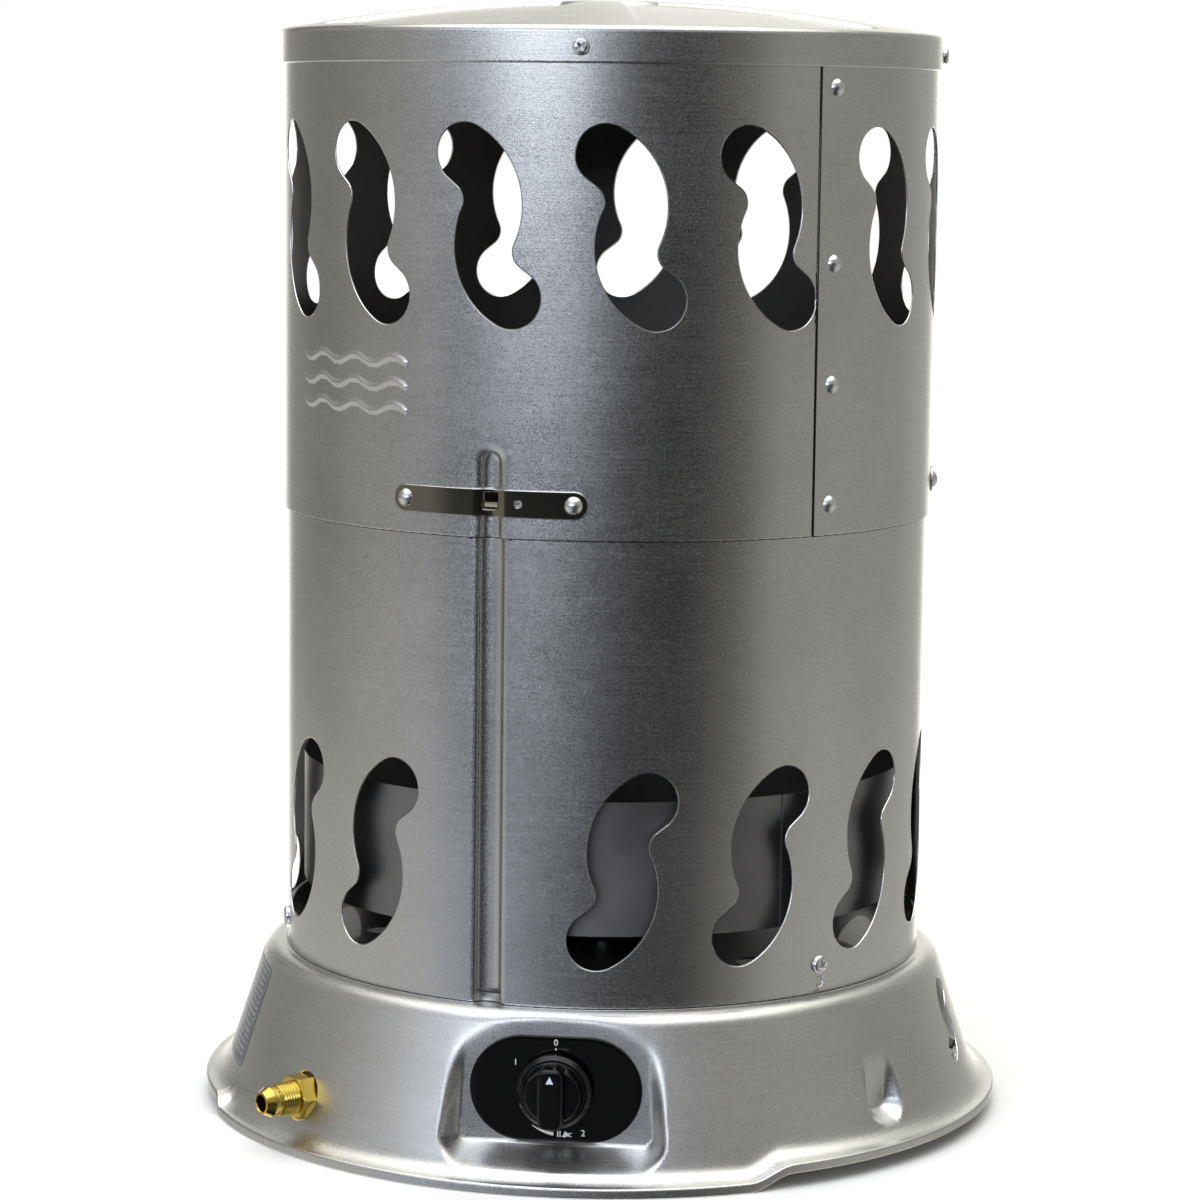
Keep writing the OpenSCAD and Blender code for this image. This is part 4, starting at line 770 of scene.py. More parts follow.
upper_slot = louvre_outline()
upper_slot_start, upper_slot_pitch = 18.05, 23.75
upper_holes = [np.column_stack((
    upper_r * (radians(upper_slot_start + upper_slot_pitch * k) + np.arcsin(upper_slot[:, 0] / upper_r)),
    upper_slot_z + upper_slot[:, 1])) for k in range(15)]
bead_us = [upper_r * radians(groove_az + 120 * k - seam_az) for k in (1, 2, 3)]
catch_half, catch_low, catch_high = 3.3, 13.2, 21.4
for u in bead_us:
    upper_holes.append(np.array([(u - catch_half, catch_low), (u + catch_half, catch_low),
                                 (u + catch_half, catch_high), (u - catch_half, catch_high)]))
bead_rings = [np.column_stack((u + bead_w * p * np.cos(a), bead_end + bead_w * p * np.sin(a)))
              for u in bead_us for p in np.linspace(0.08, 1.0, 12)
              for a in [np.linspace(0.02, pi - 0.02, max(5, int(22 * p)))]]
wave_grid = np.array(np.meshgrid(np.arange(-42, 42.1, 1.1), np.arange(49, 87.1, 1.0))).reshape(2, -1).T
wave_mid = upper_r * radians(np.mean(wave_az) - seam_az)
wave_points = wave_grid + (wave_mid, 0)
bead_cols = [u + s * bead_w * p for u in bead_us for s in (-1, 1) for p in np.linspace(0, 1, 13)]
lap_cols = 2 * pi * upper_r - np.array((0.8, 0.7, 0.6, 0.5, 0.4))
upper_sheet = formed_sheet(
    place_upper, spread((0.0, 2 * pi * upper_r), 6.0, [*bead_cols, *lap_cols]),
    spread((0.0, upper_h), 8.0, [*curl_v, bead_end]), upper_holes, bead_rings + [wave_points],
    drum_t, False, 0.9)
lap_off, lap_half = 0.1, 0.1


def at_lap_or_foot(p):
    """Marks where the painted gap shadow goes: the narrow gap left of the lapped edge, and the hood's foot."""
    off = np.degrees(np.arctan2(p[:, 0], -p[:, 1])) - seam_az
    lap = (np.abs(off + lap_off) < lap_half) & (np.abs(np.hypot(p[:, 0], p[:, 1]) - upper_r) < 0.75)
    return lap | (p[:, 2] < upper_z + 0.5)


# The hood's lap and foot carry the painted gap shadow.
make_piece("upper_drum", [with_shadow_line(upper_sheet, at_lap_or_foot)], (*bare_sheet, painted_gap_shadow),
           "hood", "aluminised_sheet", "upper_shell")

# ==== Seam rivets ====================================================================
# Four domed rivets of zinc-plated steel hold the hood's lapped seam. Their heads are 8.4 mm
# across.

rivet_r = 4.2
seam_rivet_az = seam_az + 3.4
seam_rivet_z = (14.75, 70, 125.5, 205.5)


def rivet_head(r):
    """Cap of a ball, its rim at height 0."""
    at = r * np.sin(np.linspace(0, pi / 2, 20))
    ball = 1.166 * r
    dome = np.column_stack((at, np.sqrt(ball**2 - at**2) - sqrt(ball**2 - r**2)))
    return turned(np.concatenate((dome, [(r, -0.5)])))


make_piece("seam_rivets", hardware(
    [(rivet_head(rivet_r), seam_rivet_az, upper_z + z, upper_r + 0.65) for z in seam_rivet_z]),
    [zinc_plate], "hood", "zinc_hardware", "seam_rivets")

# ==== Latches ========================================================================
# At each guide bead a dark plated strap bridges the groove and is riveted at both ends. Behind
# its window sits a spring catch that rests on the lower drum's edge and holds the hood up.

dark_plate = metal_finish("dark_nickel_plate", (0.34, 0.31, 0.24), 0.05, 0.1, 0.4, 0.15, 0.02)
strap_r = upper_r + 0.1
strap_t = 0.9
strap_half = 6.0
strap_dip, dip_half = 2.5, 8.5
latch_z = upper_z + 16.5
latch_rivet_az = (-15.8, 14.1)
strap_from, strap_to = radians(-18.1) * strap_r, radians(16.5) * strap_r


def place_strap(u, v):
    """Forms a strap about azimuth 0: it follows the hood, dips by a cosine wave 17 mm long into
    the groove, and its ends are half round."""
    end = strap_half - np.minimum(np.minimum(u - strap_from, strap_to - u), strap_half)
    up = v * np.sqrt(np.maximum(strap_half**2 - end**2, 0.05)) / strap_half
    x = strap_r * np.sin(u / strap_r)
    dip = strap_dip * (1 + np.cos(pi * np.minimum(np.abs(x) / dip_half, 1))) / 2
    out = np.sqrt(strap_r**2 - x**2) + strap_t - dip
    return np.column_stack((x, -out, latch_z + up))


def turned_round(part, az):
    """A part turned about the drum's axis."""
    c, s = cos(radians(az)), sin(radians(az))
    turn = np.array(((c, s, 0), (-s, c, 0), (0, 0, 1)))
    return (part[0] @ turn, part[1], None if part[2] is None else part[2] @ turn, part[3])


def box_outline(x0, x1, y0, y1, r):
    """Counter-clockwise rectangle; its corners are quarter rounds with points about 0.4 apart."""
    n = max(3, int(r / 0.4 * pi / 2) + 2)
    return np.concatenate((arc(x1 - r, y0 + r, r, -90, 0, n), arc(x1 - r, y1 - r, r, 0, 90, n),
                           arc(x0 + r, y1 - r, r, 90, 180, n), arc(x0 + r, y0 + r, r, 180, 270, n)))


window = box_outline(-4.0, 4.0, -3.4, 5.0, 0.5)
strap_hole = arc(radians(5) * strap_r, 0, 2.0, 0, 360, 25)[:-1]
strap_ends = [e + s * strap_half * (1 - cos(a)) for e, s in ((strap_from, 1), (strap_to, -1))
              for a in np.linspace(0, pi / 2, 9)]
strap = formed_sheet(place_strap, spread((strap_from, strap_to), 1.5, strap_ends),
                     spread((-strap_half, strap_half), 1.2), [window, strap_hole], [],
                     strap_t, False, 0.5, 0.5)
make_piece("latch_straps", [turned_round(strap, groove_az + 120 * k) for k in range(3)],
           (dark_plate, zinc_plate, dark_plate), "hood", "dark_nickel", "latch_straps")
make_piece("latch_rivets", hardware(
    [(rivet_head(rivet_r), groove_az + 120 * k + a, latch_z, strap_r + strap_t) for k in range(3)
     for a in latch_rivet_az]), [zinc_plate], "hood", "zinc_hardware", "latch_rivets")

spring_steel = metal_finish("spring_steel", (0.66, 0.60, 0.42), 0.22, 0.1, 0.6, 0.2, 0.03)


def strip(path, width, thick):
    """Rings of a flat strip along a path of (d, z) points: at each point a rectangle with broken
    corners, square to the path."""
    path = np.array(path)
    way = np.gradient(path, axis=0)
    way /= np.hypot(*way.T)[:, None]
    side = np.column_stack((way[:, 1], -way[:, 0]))
    w, t, b = width / 2, thick / 2, thick / 5
    corners = np.array(((w, -t + b), (w, t - b), (w - b, t), (-w + b, t), (-w, t - b), (-w, -t + b),
                        (-w + b, -t), (w - b, -t)))
    d = path[:, None, 0] + side[:, None, 0] * corners[:, 1]
    z = path[:, None, 1] + side[:, None, 1] * corners[:, 1]
    return np.stack((np.tile(corners[:, 0], (len(path), 1)), z, d), axis=-1)


def capped(rings):
    """Loft with both ends closed by a face."""
    points, faces = loft(rings)
    n = rings.shape[1]
    return points, [*faces.tolist(), list(range(n)), list(range(len(points) - 1, len(points) - n - 1, -1))]


catch_z = seat_z + lower_h + 0.3
catch_path = [*((d, catch_z + 0.9) for d in (151.6, *np.linspace(152.2, 155.8, 5))),
              *arc(156.1, catch_z + 2.3, 1.4, -90, 0, 7), (157.5, catch_z + 3.4)]
catch_w, catch_t = 6.5, 0.9
for k, side in enumerate(("front", "right", "back")):
    tongue = facing(groove_az + 120 * k, 0, *capped(strip(catch_path, catch_w, catch_t)))
    make_piece("catch_spring_" + side, [tongue], [spring_steel],
               "catch_" + side, "spring_steel", "catch_" + side)

# ==== Lid ============================================================================
# Drawn cap of zinc-coated sheet over the hood: a skirt with a plain edge, a low dome and five
# sunk panels that leave five broad ribs between them. Four screws hold it to the hood.

lid_t = 0.8
lid_r = upper_r + drum_t + 0.1 + lid_t
lid_z = upper_z + upper_h - 13.4
lid_skirt = 17.0
lid_rise = 15.0
lid_bend = 3.0
panel_depth, panel_step, panel_corner = 2.3, 4.5, 9.0
panel_out = lid_r - 9.0
panel_in = 26.0
rib_az = -6.0
rib_half = 9.5


def place_lid(u, v):
    """Forms the lid: u is the azimuth in degrees, v runs from 0 at the centre over the dome to 1
    at its edge, then round the bend to 2 and down the skirt to 3. The dome is a sphere's cap;
    the panels sink by an S-curve, panel_step wide, inside their outline."""
    edge_r = lid_r - lid_bend
    ball = (edge_r**2 + lid_rise**2) / (2 * lid_rise)
    r = np.where(v < 1, edge_r * v, edge_r + lid_bend * np.sin(np.clip(v - 1, 0, 1) * pi / 2))
    z = np.where(v < 1, lid_skirt + lid_rise - ball + np.sqrt(np.maximum(ball**2 - r**2, 0)),
                 lid_skirt - lid_bend * (1 - np.cos(np.clip(v - 1, 0, 1) * pi / 2)))
    z = np.where(v > 2, (lid_skirt - lid_bend) * (3 - v), z)
    off = np.radians((u - rib_az + 36) % 72 - 36)
    from_rib = r * np.sin(np.clip(np.abs(off) - radians(rib_half), -pi / 2, pi / 2))
    gap = np.minimum(np.minimum(from_rib, panel_out - r), r - panel_in)
    a, b = panel_corner - from_rib, panel_corner - (panel_out - r)
    gap = np.where((a > 0) & (b > 0), panel_corner - np.hypot(a, b), gap)
    z = z - np.where(v <= 1.001, panel_depth * smooth(gap / panel_step), 0)
    r = r - curled(np.maximum(z, 0), 0.9) * (v > 2)
    return np.column_stack((r * np.sin(np.radians(u)), -r * np.cos(np.radians(u)), lid_z + z))


def closed_shell(place, us, vs, thickness):
    """Sheet piece on a grid that closes round and has a pole at vs[0]. v runs down the outside;
    the back is the face moved in by the thickness, and a strip closes the last row."""
    u, v = np.meshgrid(us, vs[1:])
    u, v = np.concatenate(([us[0]], u.ravel())), np.concatenate(([vs[0]], v.ravel()))
    step_u, step_v = 1e-3, 1e-5
    face = place(u, v)
    normal = unit(np.cross(place(u, v + step_v) - place(u, np.maximum(v - step_v, 0)),
                           place(u + step_u, v) - place(u - step_u, v)))
    normal[0] = (0, 0, 1)
    n, m, k = len(face), len(us), len(vs) - 1
    ids = 1 + np.arange(m * k).reshape(k, m)
    right = np.roll(ids, -1, axis=1)
    cap = np.column_stack((np.zeros(m, int), ids[0], right[0]))
    sides = np.stack((ids[:-1], ids[1:], right[1:], right[:-1]), axis=-1).reshape(-1, 4)
    back = face - thickness * normal
    top, low = 2 * n + np.arange(m), 2 * n + m + np.arange(m)
    strip = np.column_stack((top, low, np.roll(low, -1), np.roll(top, -1)))
    points = np.concatenate((face, back, face[ids[-1]], back[ids[-1]]))
    down = np.tile((0.0, 0.0, -1.0), (2 * m, 1))
    faces = [*cap.tolist(), *sides.tolist(), *(cap[:, ::-1] + n).tolist(), *(sides[:, ::-1] + n).tolist(),
             *strip.tolist()]
    count = len(cap) + len(sides)
    return points, faces, np.concatenate((normal, -normal, down)), np.repeat((0, 2, 1), (count, count, m))


rib_edges = [rib_az + 72 * k + s * (rib_half + a) for k in range(5) for s in (-1, 1)
             for a in (0, 0.35, 0.7, 1.05, 1.4, 1.75, 2.1, 2.8, 3.6, 5, 7, 9, 12)]
lid_us = spread((-180.0, 180.0), 2.0, [(a + 180) % 360 - 180 for a in rib_edges])[:-1]
edge_r = lid_r - lid_bend
lid_vs = np.concatenate((np.unique(np.concatenate((
    np.linspace(0, 1, 36), np.linspace(panel_in - 1, panel_in + 7, 9) / edge_r,
    np.linspace(panel_out - 10, panel_out + 1, 12) / edge_r))), np.linspace(1.1, 2, 10),
    np.linspace(2.2, 2.9, 4), 3 - np.array((0.9, 0.6, 0.35, 0.18, 0.07, 0)) / (lid_skirt - lid_bend)))
make_piece("lid_cap", [closed_shell(place_lid, lid_us, lid_vs, lid_t)], bare_sheet,
           "hood", "galvanised_sheet", "lid")

lid_screw_r, lid_screw_az, lid_screw_z = 3.9, -5, lid_z + 7.15
make_piece("lid_screws", hardware(
    [(screw_head(lid_screw_r, screw_h, 35 + 25 * k), lid_screw_az + 90 * k, lid_screw_z, lid_r)
     for k in range(4)]), [zinc_plate], "hood", "zinc_hardware", "lid_screws")

# ==== Control plate ==================================================================
# Gloss black plate behind the knob, with a rounded edge. Its printed marks are plain: a 0 with a
# tick above, a 1 at the left, a 2 below, a wedge that thickens towards the 2, bars and a flame.

plate_w, plate_h, plate_t = 80.0, 50.0, 1.2
plate_face = recess_d + plate_t
control_z = 42.5


def dust_film():
    """Fine dust and wipe marks on black gloss: specks from Voronoi cells, streaks from stretched
    noise. Puts out a colour value and a roughness."""
    tree, given, out = new_group("dust_film", [("Amount", 0.5)],
                                 [("Value", "NodeSocketFloat"), ("Roughen", "NodeSocketFloat")])
    place = node(tree, "ShaderNodeTexCoord").outputs["Object"]
    cells = node(tree, "ShaderNodeTexVoronoi", {"Vector": place, "Scale": 700.0}).outputs["Distance"]
    speck = times(combine("LESS_THAN", cells, 0.11), given["Amount"])
    smear = noise(stretched(place, (60.0, 60.0, 400.0)), 5.0, 3.0)
    wipe = times(minus(smear, 0.4), given["Amount"])
    tree.links.new(plus(times(speck, 0.02), times(wipe, 0.004)), out["Value"])
    tree.links.new(plus(times(speck, 0.3), times(wipe, 0.15)), out["Roughen"])
    return tree


dust_group = dust_film()


def plastic_finish(name, color, roughness, dust=0.5, coat=0.0, specular=0.5):
    """Moulded, printed or enamelled surface with a film of dust."""
    mat, tree, shader = new_finish(name)
    film = node(tree, "ShaderNodeGroup", {"Amount": dust}, node_tree=dust_group)
    tree.links.new(shaded(tree, color, film.outputs["Value"], "ADD"), shader.inputs["Base Color"])
    tree.links.new(plus(film.outputs["Roughen"], roughness), shader.inputs["Roughness"])
    shader.inputs["Coat Weight"].default_value = coat
    shader.inputs["Coat Roughness"].default_value = 0.05
    shader.inputs["Specular IOR Level"].default_value = specular
    return mat


gloss_black = plastic_finish("gloss_black", (0.002, 0.002, 0.0025), 0.08, 0.2, 0.0, 0.35)
mark_print = plastic_finish("white_print", (0.75, 0.75, 0.75), 0.4, 0.3)


def stadium(inset, d, half=(plate_w - plate_h) / 2):
    """Outline of the plate drawn in by inset, at distance d: two half rounds set half apart from
    the middle."""
    r = plate_h / 2 - inset
    a = np.linspace(0, 2 * pi, 96, endpoint=False) + pi / 96
    return np.column_stack((r * np.cos(a) + half * np.sign(np.cos(a)), r * np.sin(a), np.full(96, d)))


stem_hole = [stadium(18.9, d, 0) for d in (recess_d, plate_face)]
plate_edge = ((12, 0), (3, 0), (0.7, 0), (0.4, 0.05), (0.15, 0.2), (0, 0.5))
plate_rings = np.array([*stem_hole, *(stadium(inset, plate_face - drop) for inset, drop in plate_edge),
                        stadium(0, recess_d)])
make_piece("control_plate", [facing(control_az, control_z, *loft(plate_rings, True))], [gloss_black],
           "base", "gloss_black", "control_plate", sharp=50)


def printed(outline, d=plate_face, z=control_z, height=0.06):
    """Thin raised print over an outline on the face at distance d."""
    n = len(outline)
    low = np.column_stack((outline, np.full(n, d - 0.02)))
    i = np.arange(n)
    sides = np.column_stack((i, np.roll(i, -1), np.roll(i, -1) + n, i + n)).tolist()
    return facing(control_az, z, np.concatenate((low, low + (0, 0, height))),
                  [*sides, list(range(n, 2 * n)), list(range(n))[::-1]])


def digit(body, x, y, size):
    """A numeral of the plate's print, raised like the other marks."""
    curve = bpy.data.curves.new("numeral", "FONT")
    curve.body, curve.size, curve.extrude = body, size, 0.03
    curve.align_x = curve.align_y = "CENTER"
    made = bpy.data.objects.new("numeral", curve)
    mesh = made.to_mesh()
    points = np.array([tuple(v.co) for v in mesh.vertices]) + (x, y, plate_face + 0.01)
    faces = [list(p.vertices) for p in mesh.polygons]
    made.to_mesh_clear()
    bpy.data.objects.remove(made)
    return facing(control_az, control_z, points, faces)


wedge_a = np.radians(np.linspace(238, 268, 16))
wedge_in = 20.3
wedge_r = wedge_in + np.linspace(0.15, 1.7, 16)
wedge = np.concatenate((
    np.column_stack((wedge_r * np.cos(wedge_a), wedge_r * np.sin(wedge_a))),
    wedge_in * np.column_stack((np.cos(wedge_a), np.sin(wedge_a)))[::-1]))
flame = np.array([(3.2, -22.4), (4.4, -22.6), (5.8, -22.0), (8.0, -22.4), (6.4, -21.2), (8.2, -20.2),
                  (6.0, -20.6), (4.6, -19.6), (4.0, -21.0)])
bars = [box_outline(x, x + 0.55, -22.5, -19.7, 0.15) for x in (1.0, 2.1)]
tick = box_outline(-0.3, 0.3, 18.3, 19.3, 0.1)
make_piece("dial_marks", [printed(o) for o in (wedge, flame, tick, *bars)] + [
    digit(*mark, 4.2) for mark in (("0", 0.0, 21.8), ("1", -18.6, 12.0), ("2", 13.0, -20.4))],
    [mark_print], "base", "pointer_print")

# ==== Knob ===========================================================================
# Moulded in gloss black: a thin skirt, a low round body and a grip bar with a pale pointer
# printed on its face. It sits on the valve's stem.

knob_back = plate_face + 3.7
knob_front = knob_back + 17.0
cap_d = knob_front - 8.0
grip_rx, grip_ry = 5.9, 14.1
grip_power, grip_edge = 4.6, 1.4


def rounded(*corners, n=6):
    """Profile with each (r, d, radius) corner rounded by an arc that touches both sides."""
    line = [corners[0][:2]]
    for before, here, after in zip(corners, corners[1:], corners[2:]):
        a, p, b = (np.array(c[:2]) for c in (before, here, after))
        u, v = (a - p) / np.hypot(*(a - p)), (b - p) / np.hypot(*(b - p))
        half = acos(np.clip(u @ v, -1, 1)) / 2
        middle = p + (u + v) / np.hypot(*(u + v)) * here[2] / sin(half)
        start, end = p + u * here[2] / tan(half) - middle, p + v * here[2] / tan(half) - middle
        turn = np.linspace(0, 1, n)[:, None]
        way = (1 - turn) * start + turn * end
        line += [*(middle + way / np.hypot(*way.T)[:, None] * here[2])]
    return np.array([*line, corners[-1][:2]])


knob_line = rounded((0, cap_d, 0), (12.8, cap_d, 1.2), *((r, knob_back + d, soft) for r, d, soft in (
    (14.3, 4, 0.5), (15.6, 3.9, 0.25), (16.1, 3.3, 0.3), (17.4, 2.2, 0.6), (17.4, 0, 0.3),
    (12.6, 0, 0.3), (12.6, 3.6, 0.3), (3.2, 3.6, 0))))
knob_body = turned(np.concatenate((knob_line, [(3.2, knob_back + 3.6)])), 96)

# The grip is a superellipse, |x/a|^p + |y/b|^p = 1. Its rings step in over the face, round the
# edge by a quarter round, and widen a little down to the round body.
grip_a = np.linspace(0, 2 * pi, 96, endpoint=False)
power = 2 / grip_power
grip_x, grip_y = (r * np.sign(w) * np.abs(w) ** power
                  for r, w in ((grip_rx, np.cos(grip_a)), (grip_ry, np.sin(grip_a))))
edge_a = np.linspace(0, pi / 2, 8)
edge_in = np.concatenate(([5.9, 4.5, 3.0], grip_edge * (1 - np.sin(edge_a)), [-0.25, -0.5]))
edge_d = np.concatenate(([0, 0, 0], -grip_edge * (1 - np.cos(edge_a)), [-6.0, -10.5]))
grip = np.stack([np.column_stack((
    grip_x * np.maximum(grip_rx - e, 0) / grip_rx, grip_y * (grip_ry - e * (1 if e < 3 else 1.2)) / grip_ry,
    np.full(96, knob_front + d))) for e, d in zip(edge_in, edge_d)])
make_piece("control_knob", [facing(control_az, control_z, *loft(rings)) for rings in (knob_body, grip)],
           [gloss_black], "knob", "gloss_black", "control_knob", sharp=40)

pointer_print = plastic_finish("pointer_print", (0.50, 0.62, 0.78), 0.35, 0.3)
pointer_lo, pointer_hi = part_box("knob_pointer")
pointer_top = (pointer_hi.z - pointer_lo.z) * 1000 / 2
pointer_z = (pointer_hi.z + pointer_lo.z) * 500
arrow = pointer_top * np.array(((-0.62, -0.2), (0.62, -0.2), (0.0, 1.0)))
make_piece("knob_arrow", [printed(arrow, knob_front, pointer_z, 0.07)], [pointer_print],
           "knob", "pointer_print", "knob_pointer")

# ==== Gas inlet ======================================================================
# Turned from hexagonal brass bar: a hexagon against the skirt, a 5/8-18 flare thread and a
# tapered nose with a round bore.

brass = metal_finish("brass", (0.74, 0.53, 0.11), 0.24, 0.15, 0.9, 0.4, 0.04)
inlet_back = lower_r + 11.5
hex_front = lower_r + 32.0
thread_front = hex_front + 9.0
nose_front = thread_front + 8.5
thread_r, thread_pitch, thread_depth = 7.94, 1.411, 0.75
hex_flat, chamfer_slope = 9.5, 1.73
run_in_w, run_out_h = 0.8, 0.8


def inlet_rings(sides):
    """The fitting's surface over angle and distance: the hexagon's radius is flat / cos(angle from
    the flat's middle), cut off by the front chamfer; the thread's is a 60 degree zigzag of distance
    over pitch less angle; nose and bore are plain."""
    hexagon = np.concatenate((np.linspace(inlet_back, hex_front - 1.6, 6),
                              np.linspace(hex_front - 1.5, hex_front, 8)))
    d = np.concatenate((hexagon, np.linspace(hex_front, thread_front, 90)))
    a = np.linspace(0, 2 * pi, sides, endpoint=False)
    side = hex_flat / np.cos((a + 1e-9) % (pi / 3) - pi / 6)
    chamfer = hex_flat + 0.4 + (hex_front - d) * chamfer_slope
    r = np.minimum(side[None], chamfer[:, None])
    phase = (d[:, None] / thread_pitch - a[None] / (2 * pi)) % 1
    run_in = np.clip((d[:, None] - hex_front) / run_in_w, 0, 1)
    screw = thread_r - thread_depth * (1 - 2 * np.abs(phase - 0.5)) * run_in
    run_out = np.clip(thread_front - d[:, None], 0, 1)
    screw = np.minimum(screw, thread_r - run_out_h + run_out_h * run_out)
    r[len(hexagon):] = screw[len(hexagon):]
    rings = np.stack((r * np.cos(a), r * np.sin(a), np.tile(d[:, None], sides)), axis=-1)
    neck = [(6.6, 0.2), (6.5, 1.8), (7.2, 2.1), (7.3, 2.6), (7.3, 4.4), (7.0, 4.9)]
    nose = [(5.2, -0.2), (4.8, 0), (4.3, 0), (4.0, -0.4), (4.0, -12), (4.0, -24), (0, -24)]
    front = turned([*((r, thread_front + d) for r, d in neck), *((r, nose_front + d) for r, d in nose)], sides)
    return np.concatenate((rings, front))[::-1]


make_piece("gas_inlet", [facing(inlet_az, inlet_z, *loft(inlet_rings(96)))], [brass],
           "base", "brass", "inlet_fitting", sharp=30)

# ==== Rating sticker =================================================================
# Dark grey film on the skirt's left side, 26 degrees wide, with rows of plain light bars and a
# light frame in place of print.

label_film = plastic_finish("label_film", (0.085, 0.09, 0.10), 0.35, 0.5, 0.1)
label_print = plastic_finish("label_print", (0.24, 0.25, 0.27), 0.4, 0.3)
label_az, label_w = -85.0, 26.0
label_z0, label_z1 = 22.0, 70.0
label_lift, label_corner = 0.25, 4.0
label_lines = 15
text_side, text_end, column_gap = 0.05, 0.06, 0.02
frame_u, frame_v = (0.008, 0.016), (0.015, 0.03)
printed_share = 0.7


def label_grid():
    """Sticker over (across, up), both 0 to 1: rows of print alternate with gaps, and the
    fractional part of a large sine scatters bars of uneven length along each row. The corners
    are drawn in by a circle."""
    across = np.unique(np.concatenate((
        [0, *frame_u, 0.04, 0.97, 0.984, 0.992, 1], np.linspace(text_side, 0.95, 91))))
    up = np.unique(np.concatenate((
        [0, *frame_v, 0.97, 0.985, 1], np.linspace(text_end, 0.94, 2 * label_lines + 1))))
    a, b = np.meshgrid(across, up)
    width = radians(label_w) * 185
    side = np.minimum(a, 1 - a) * width
    tall = label_z1 - label_z0
    draw = label_corner - np.sqrt(label_corner**2 - np.maximum(label_corner - side, 0) ** 2)
    z = label_z0 + tall / 2 + (b - 0.5) * (tall - 2 * draw)
    r = on_skirt(z, foot_line[:, 0])
    az = np.radians(label_az + (a - 0.5) * label_w)
    slope = np.gradient(r, axis=0) / np.maximum(np.gradient(z, axis=0), 1e-6)
    nr, nz = 1 / np.sqrt(1 + slope**2), -slope / np.sqrt(1 + slope**2)
    parts = []
    for lift in (label_lift - 0.02, 0.02):
        rr, zz = r + lift * nr, z + lift * nz
        parts.append(np.stack((rr * np.sin(az), -rr * np.cos(az), zz), axis=-1).reshape(-1, 3))
    rows, cols = a.shape
    ids = np.arange(rows * cols).reshape(rows, cols)
    quads = np.stack((ids[:-1, :-1], ids[:-1, 1:], ids[1:, 1:], ids[1:, :-1]), axis=-1).reshape(-1, 4)
    mid_a, mid_b = (a[:-1, :-1] + a[1:, 1:]) / 2, (b[:-1, :-1] + b[1:, 1:]) / 2
    line = np.floor((mid_b - text_end) / 0.88 * 2 * label_lines)
    column = np.floor((mid_a - text_side) * 100)
    side_a, side_b = np.minimum(mid_a, 1 - mid_a), np.minimum(mid_b, 1 - mid_b)
    text = (line % 2 == 1) & (side_b > text_end) & (side_a > text_side)
    scatter = np.sin(column * 12.9898 + line * 78.233) * 43758.5453
    text &= scatter - np.floor(scatter) > 1 - printed_share
    text &= np.abs(mid_a - 0.5) > column_gap
    frame_line = ((side_a > frame_u[0]) & (side_a < frame_u[1])) | (
        (side_b > frame_v[0]) & (side_b < frame_v[1]))
    print_index = (text | frame_line).astype(int).ravel()
    loop = np.concatenate((ids[0, :-1], ids[:-1, -1], ids[-1, :0:-1], ids[:0:-1, 0]))
    count = rows * cols
    rim = np.column_stack((loop + count, np.roll(loop, -1) + count, np.roll(loop, -1), loop))
    faces = [*quads.tolist(), *(quads[:, ::-1] + count).tolist(), *rim.tolist()]
    index = np.concatenate((print_index, np.zeros(len(quads) + len(rim), int)))
    return np.concatenate(parts), faces, None, index


make_piece("rating_label", [label_grid()], [label_film, label_print], "base", "label_film", "rating_label")

# ==== Burner, shield and gas line ====================================================
# Seen through the louvres and from below: a band of dull sheet, an enamelled pan, the cast
# burner with its stained cap, brass and copper gas parts, and plated brackets.

dull_sheet = metal_finish("dull_sheet", (0.26, 0.26, 0.265), 0.42, 0.5, 0.8, 0.3, 0.15)
bracket_zinc = metal_finish("bracket_zinc", (0.62, 0.62, 0.64), 0.32, 0.5, 0.5, 0.4, 0.1)
copper = metal_finish("copper", (0.70, 0.36, 0.22), 0.3, 0.1, 1.0, 0.3, 0.05)
cast_iron = metal_finish("cast_iron", (0.07, 0.068, 0.066), 0.6, 1.0, 1.0, 0.0, 0.6, 0.6)
stained_steel = metal_finish("stained_steel", (0.34, 0.29, 0.25), 0.38, 0.4, 1.8, 0.3, 0.1)
stem_brass = metal_finish("stem_plate", (0.68, 0.64, 0.52), 0.25, 0.1, 0.4, 0.3, 0.04)
pan_enamel = plastic_finish("pan_enamel", (0.016, 0.016, 0.018), 0.35, 1.0, 0.3)
inner_finishes = {
    dull_sheet: ["heat_shield", "lid_baffle"],
    bracket_zinc: ["jet_bracket", "inlet_bracket", "valve_bracket", "thermocouple_bracket", "baffle_posts"],
    zinc_plate: ["burner_bolts", "bracket_screws", "magnet_unit", "bonnet_nut", "valve_plunger",
                 "baffle_rivets"],
    brass: ["jet_holder", "gas_jet", "supply_nuts", "inlet_locknut", "inlet_nuts", "valve_body"],
    copper: ["supply_pipe", "inlet_pipe", "thermocouple_lead"],
    cast_iron: ["burner_bowl", "mixer_tube"],
    stained_steel: ["burner_cap"],
    stem_brass: ["valve_stem", "thermocouple"],
    pan_enamel: ["burner_pan"],
}
for finish, names in inner_finishes.items():
    for name in names:
        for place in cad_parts[name].material_slots:
            place.material = finish

# ==== Studio =========================================================================
# Pale floor and a soft room: a bright key left of the camera just above eye level, a dark place
# in front and to its right, grey walls, a glow of the table, a white sweep behind and overhead.

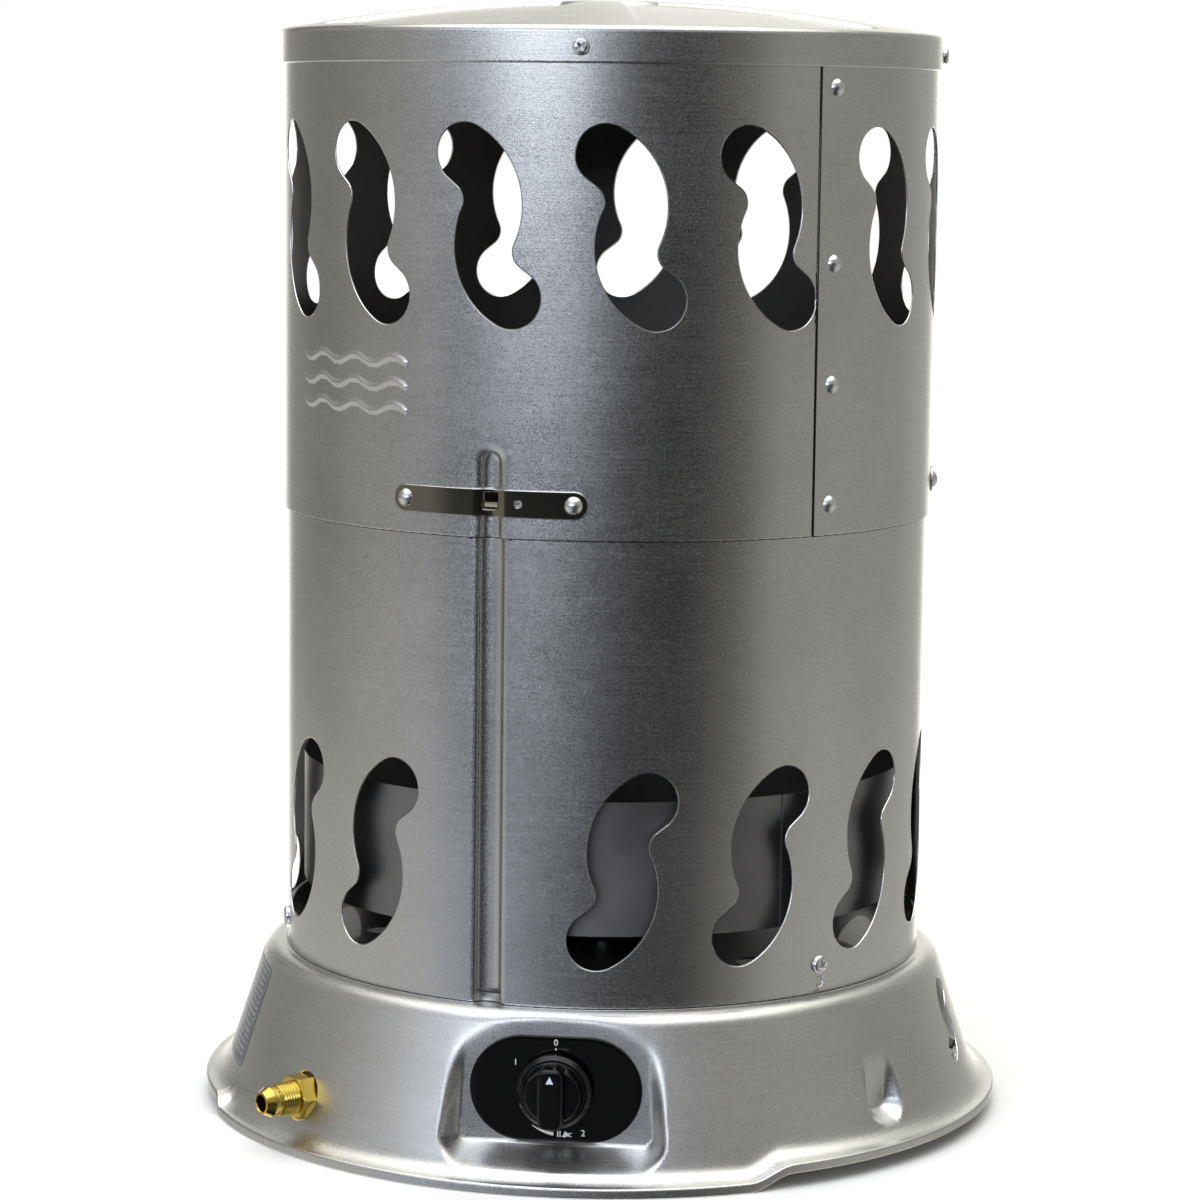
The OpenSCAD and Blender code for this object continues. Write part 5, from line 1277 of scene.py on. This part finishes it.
bpy.context.scene.view_settings.view_transform = "Standard"
floor_mesh = bpy.data.meshes.new("floor")
floor_mesh.from_pydata([(-8, -8, 0), (8, -8, 0), (8, 8, 0), (-8, 8, 0)], [], [(0, 1, 2, 3)])
floor = bpy.data.objects.new("floor", floor_mesh)
bpy.context.scene.collection.objects.link(floor)
floor_paint, _, floor_shader = new_finish("floor_paint")
floor_shader.inputs["Base Color"].default_value = (0.93, 0.93, 0.93, 1)
floor_shader.inputs["Roughness"].default_value = 0.9
floor_mesh.materials.append(floor_paint)
floor.visible_glossy = False

world = bpy.data.worlds.new("studio")
bpy.context.scene.world = world
world.use_nodes = True
tree = world.node_tree
background = tree.nodes["Background"]
axes = node(tree, "ShaderNodeSeparateXYZ", {
    "Vector": node(tree, "ShaderNodeTexCoord").outputs["Generated"]}).outputs
turn = combine("DEGREES", combine("ARCTAN2", axes["X"], times(axes["Y"], -1.0)))
rise = combine("DEGREES", combine("ARCSINE", axes["Z"]))


def ramp_up(value, start, end):
    """0 below start, 1 above end, smooth between; falls if end is below start."""
    made = node(tree, "ShaderNodeMapRange", {"Value": value, "From Min": start, "From Max": end},
                interpolation_type="SMOOTHSTEP")
    return made.outputs["Result"]


def wall_ring(*stops):
    """Brightness round the room: stops of (azimuth, level) with smooth passages between."""
    round_share = plus(combine("DIVIDE", turn, 360.0), 0.5)
    made = node(tree, "ShaderNodeValToRGB", {"Fac": round_share})
    ramp = made.color_ramp
    ramp.interpolation = "EASE"
    for i, (az, level) in enumerate(stops):
        stop = ramp.elements[i] if i < 2 else ramp.elements.new(az / 360 + 0.5)
        stop.position = az / 360 + 0.5
        stop.color = (level, level, level, 1.0)
    return made.outputs["Color"]


def between(a, b, share):
    """Mixes two brightnesses."""
    made = node(tree, "ShaderNodeMix", {"Factor": share}, data_type="RGBA")
    tree.links.new(a, made.inputs[6])
    tree.links.new(b, made.inputs[7])
    return made.outputs[2]


table = wall_ring((-150, 0.55), (-64, 0.62), (-48, 0.47), (-32, 0.38), (-16, 0.14), (2, 0.06), (28, 0.07),
                  (44, 0.2), (64, 0.44), (90, 0.5), (150, 0.5))
waist = wall_ring((-150, 0.32), (-116, 0.22), (-90, 0.29), (-66, 0.29), (-52, 0.09), (-24, 0.04), (-6, 0.03),
                  (10, 0.02), (28, 0.02), (44, 0.08), (62, 0.31), (90, 0.33), (120, 0.33), (144, 0.45))
key = wall_ring((-150, 0.28), (-100, 0.3), (-76, 0.42), (-60, 0.8), (-44, 2.4), (-30, 5.6), (-16, 5.2),
                (-2, 1.2), (10, 0.2), (26, 0.08), (42, 0.22), (60, 0.42), (84, 0.33), (116, 0.32), (144, 0.5))
ceiling = wall_ring((-150, 0.15), (-134, 0.3), (-96, 0.36), (-72, 0.46), (-56, 0.8), (-36, 1.0), (-10, 0.8),
                    (16, 0.36), (40, 0.3), (64, 0.4), (96, 0.3), (144, 0.42))
room = between(table, waist, ramp_up(rise, -13.0, -8.0))
room = between(room, key, ramp_up(rise, 1.5, 5.5))
room = between(room, ceiling, ramp_up(rise, 7.0, 14.0))
shades = node(tree, "ShaderNodeSeparateColor", {"Color": room}).outputs[0]
shades = times(shades, ramp_up(rise, -80.0, -45.0))
behind = times(ramp_up(combine("ABSOLUTE", turn), 153.0, 166.0), 0.55)
low_glow = plus(1.0, times(ramp_up(rise, 9.0, 1.0), 2.3))
behind = times(behind, low_glow)
overhead = times(ramp_up(rise, 38.0, 62.0), 2.0)
grey = plus(plus(shades, behind), overhead)
off = combine("ABSOLUTE", plus(turn, 25.0))
tones = node(tree, "ShaderNodeMix", {"Factor": ramp_up(off, 60.0, 20.0)}, data_type="RGBA")
tones.inputs[6].default_value = (1.04, 1.02, 0.94, 1)
tones.inputs[7].default_value = (0.94, 1.0, 1.12, 1)
total = node(tree, "ShaderNodeVectorMath", {"Scale": grey}, operation="SCALE")
tree.links.new(tones.outputs[2], total.inputs[0])
seen = node(tree, "ShaderNodeLightPath").outputs["Is Camera Ray"]
final = node(tree, "ShaderNodeMix", {"Factor": seen}, data_type="RGBA")
tree.links.new(total.outputs[0], final.inputs[6])
final.inputs[7].default_value = (1.0, 1.0, 1.0, 1)
tree.links.new(final.outputs[2], background.inputs["Color"])
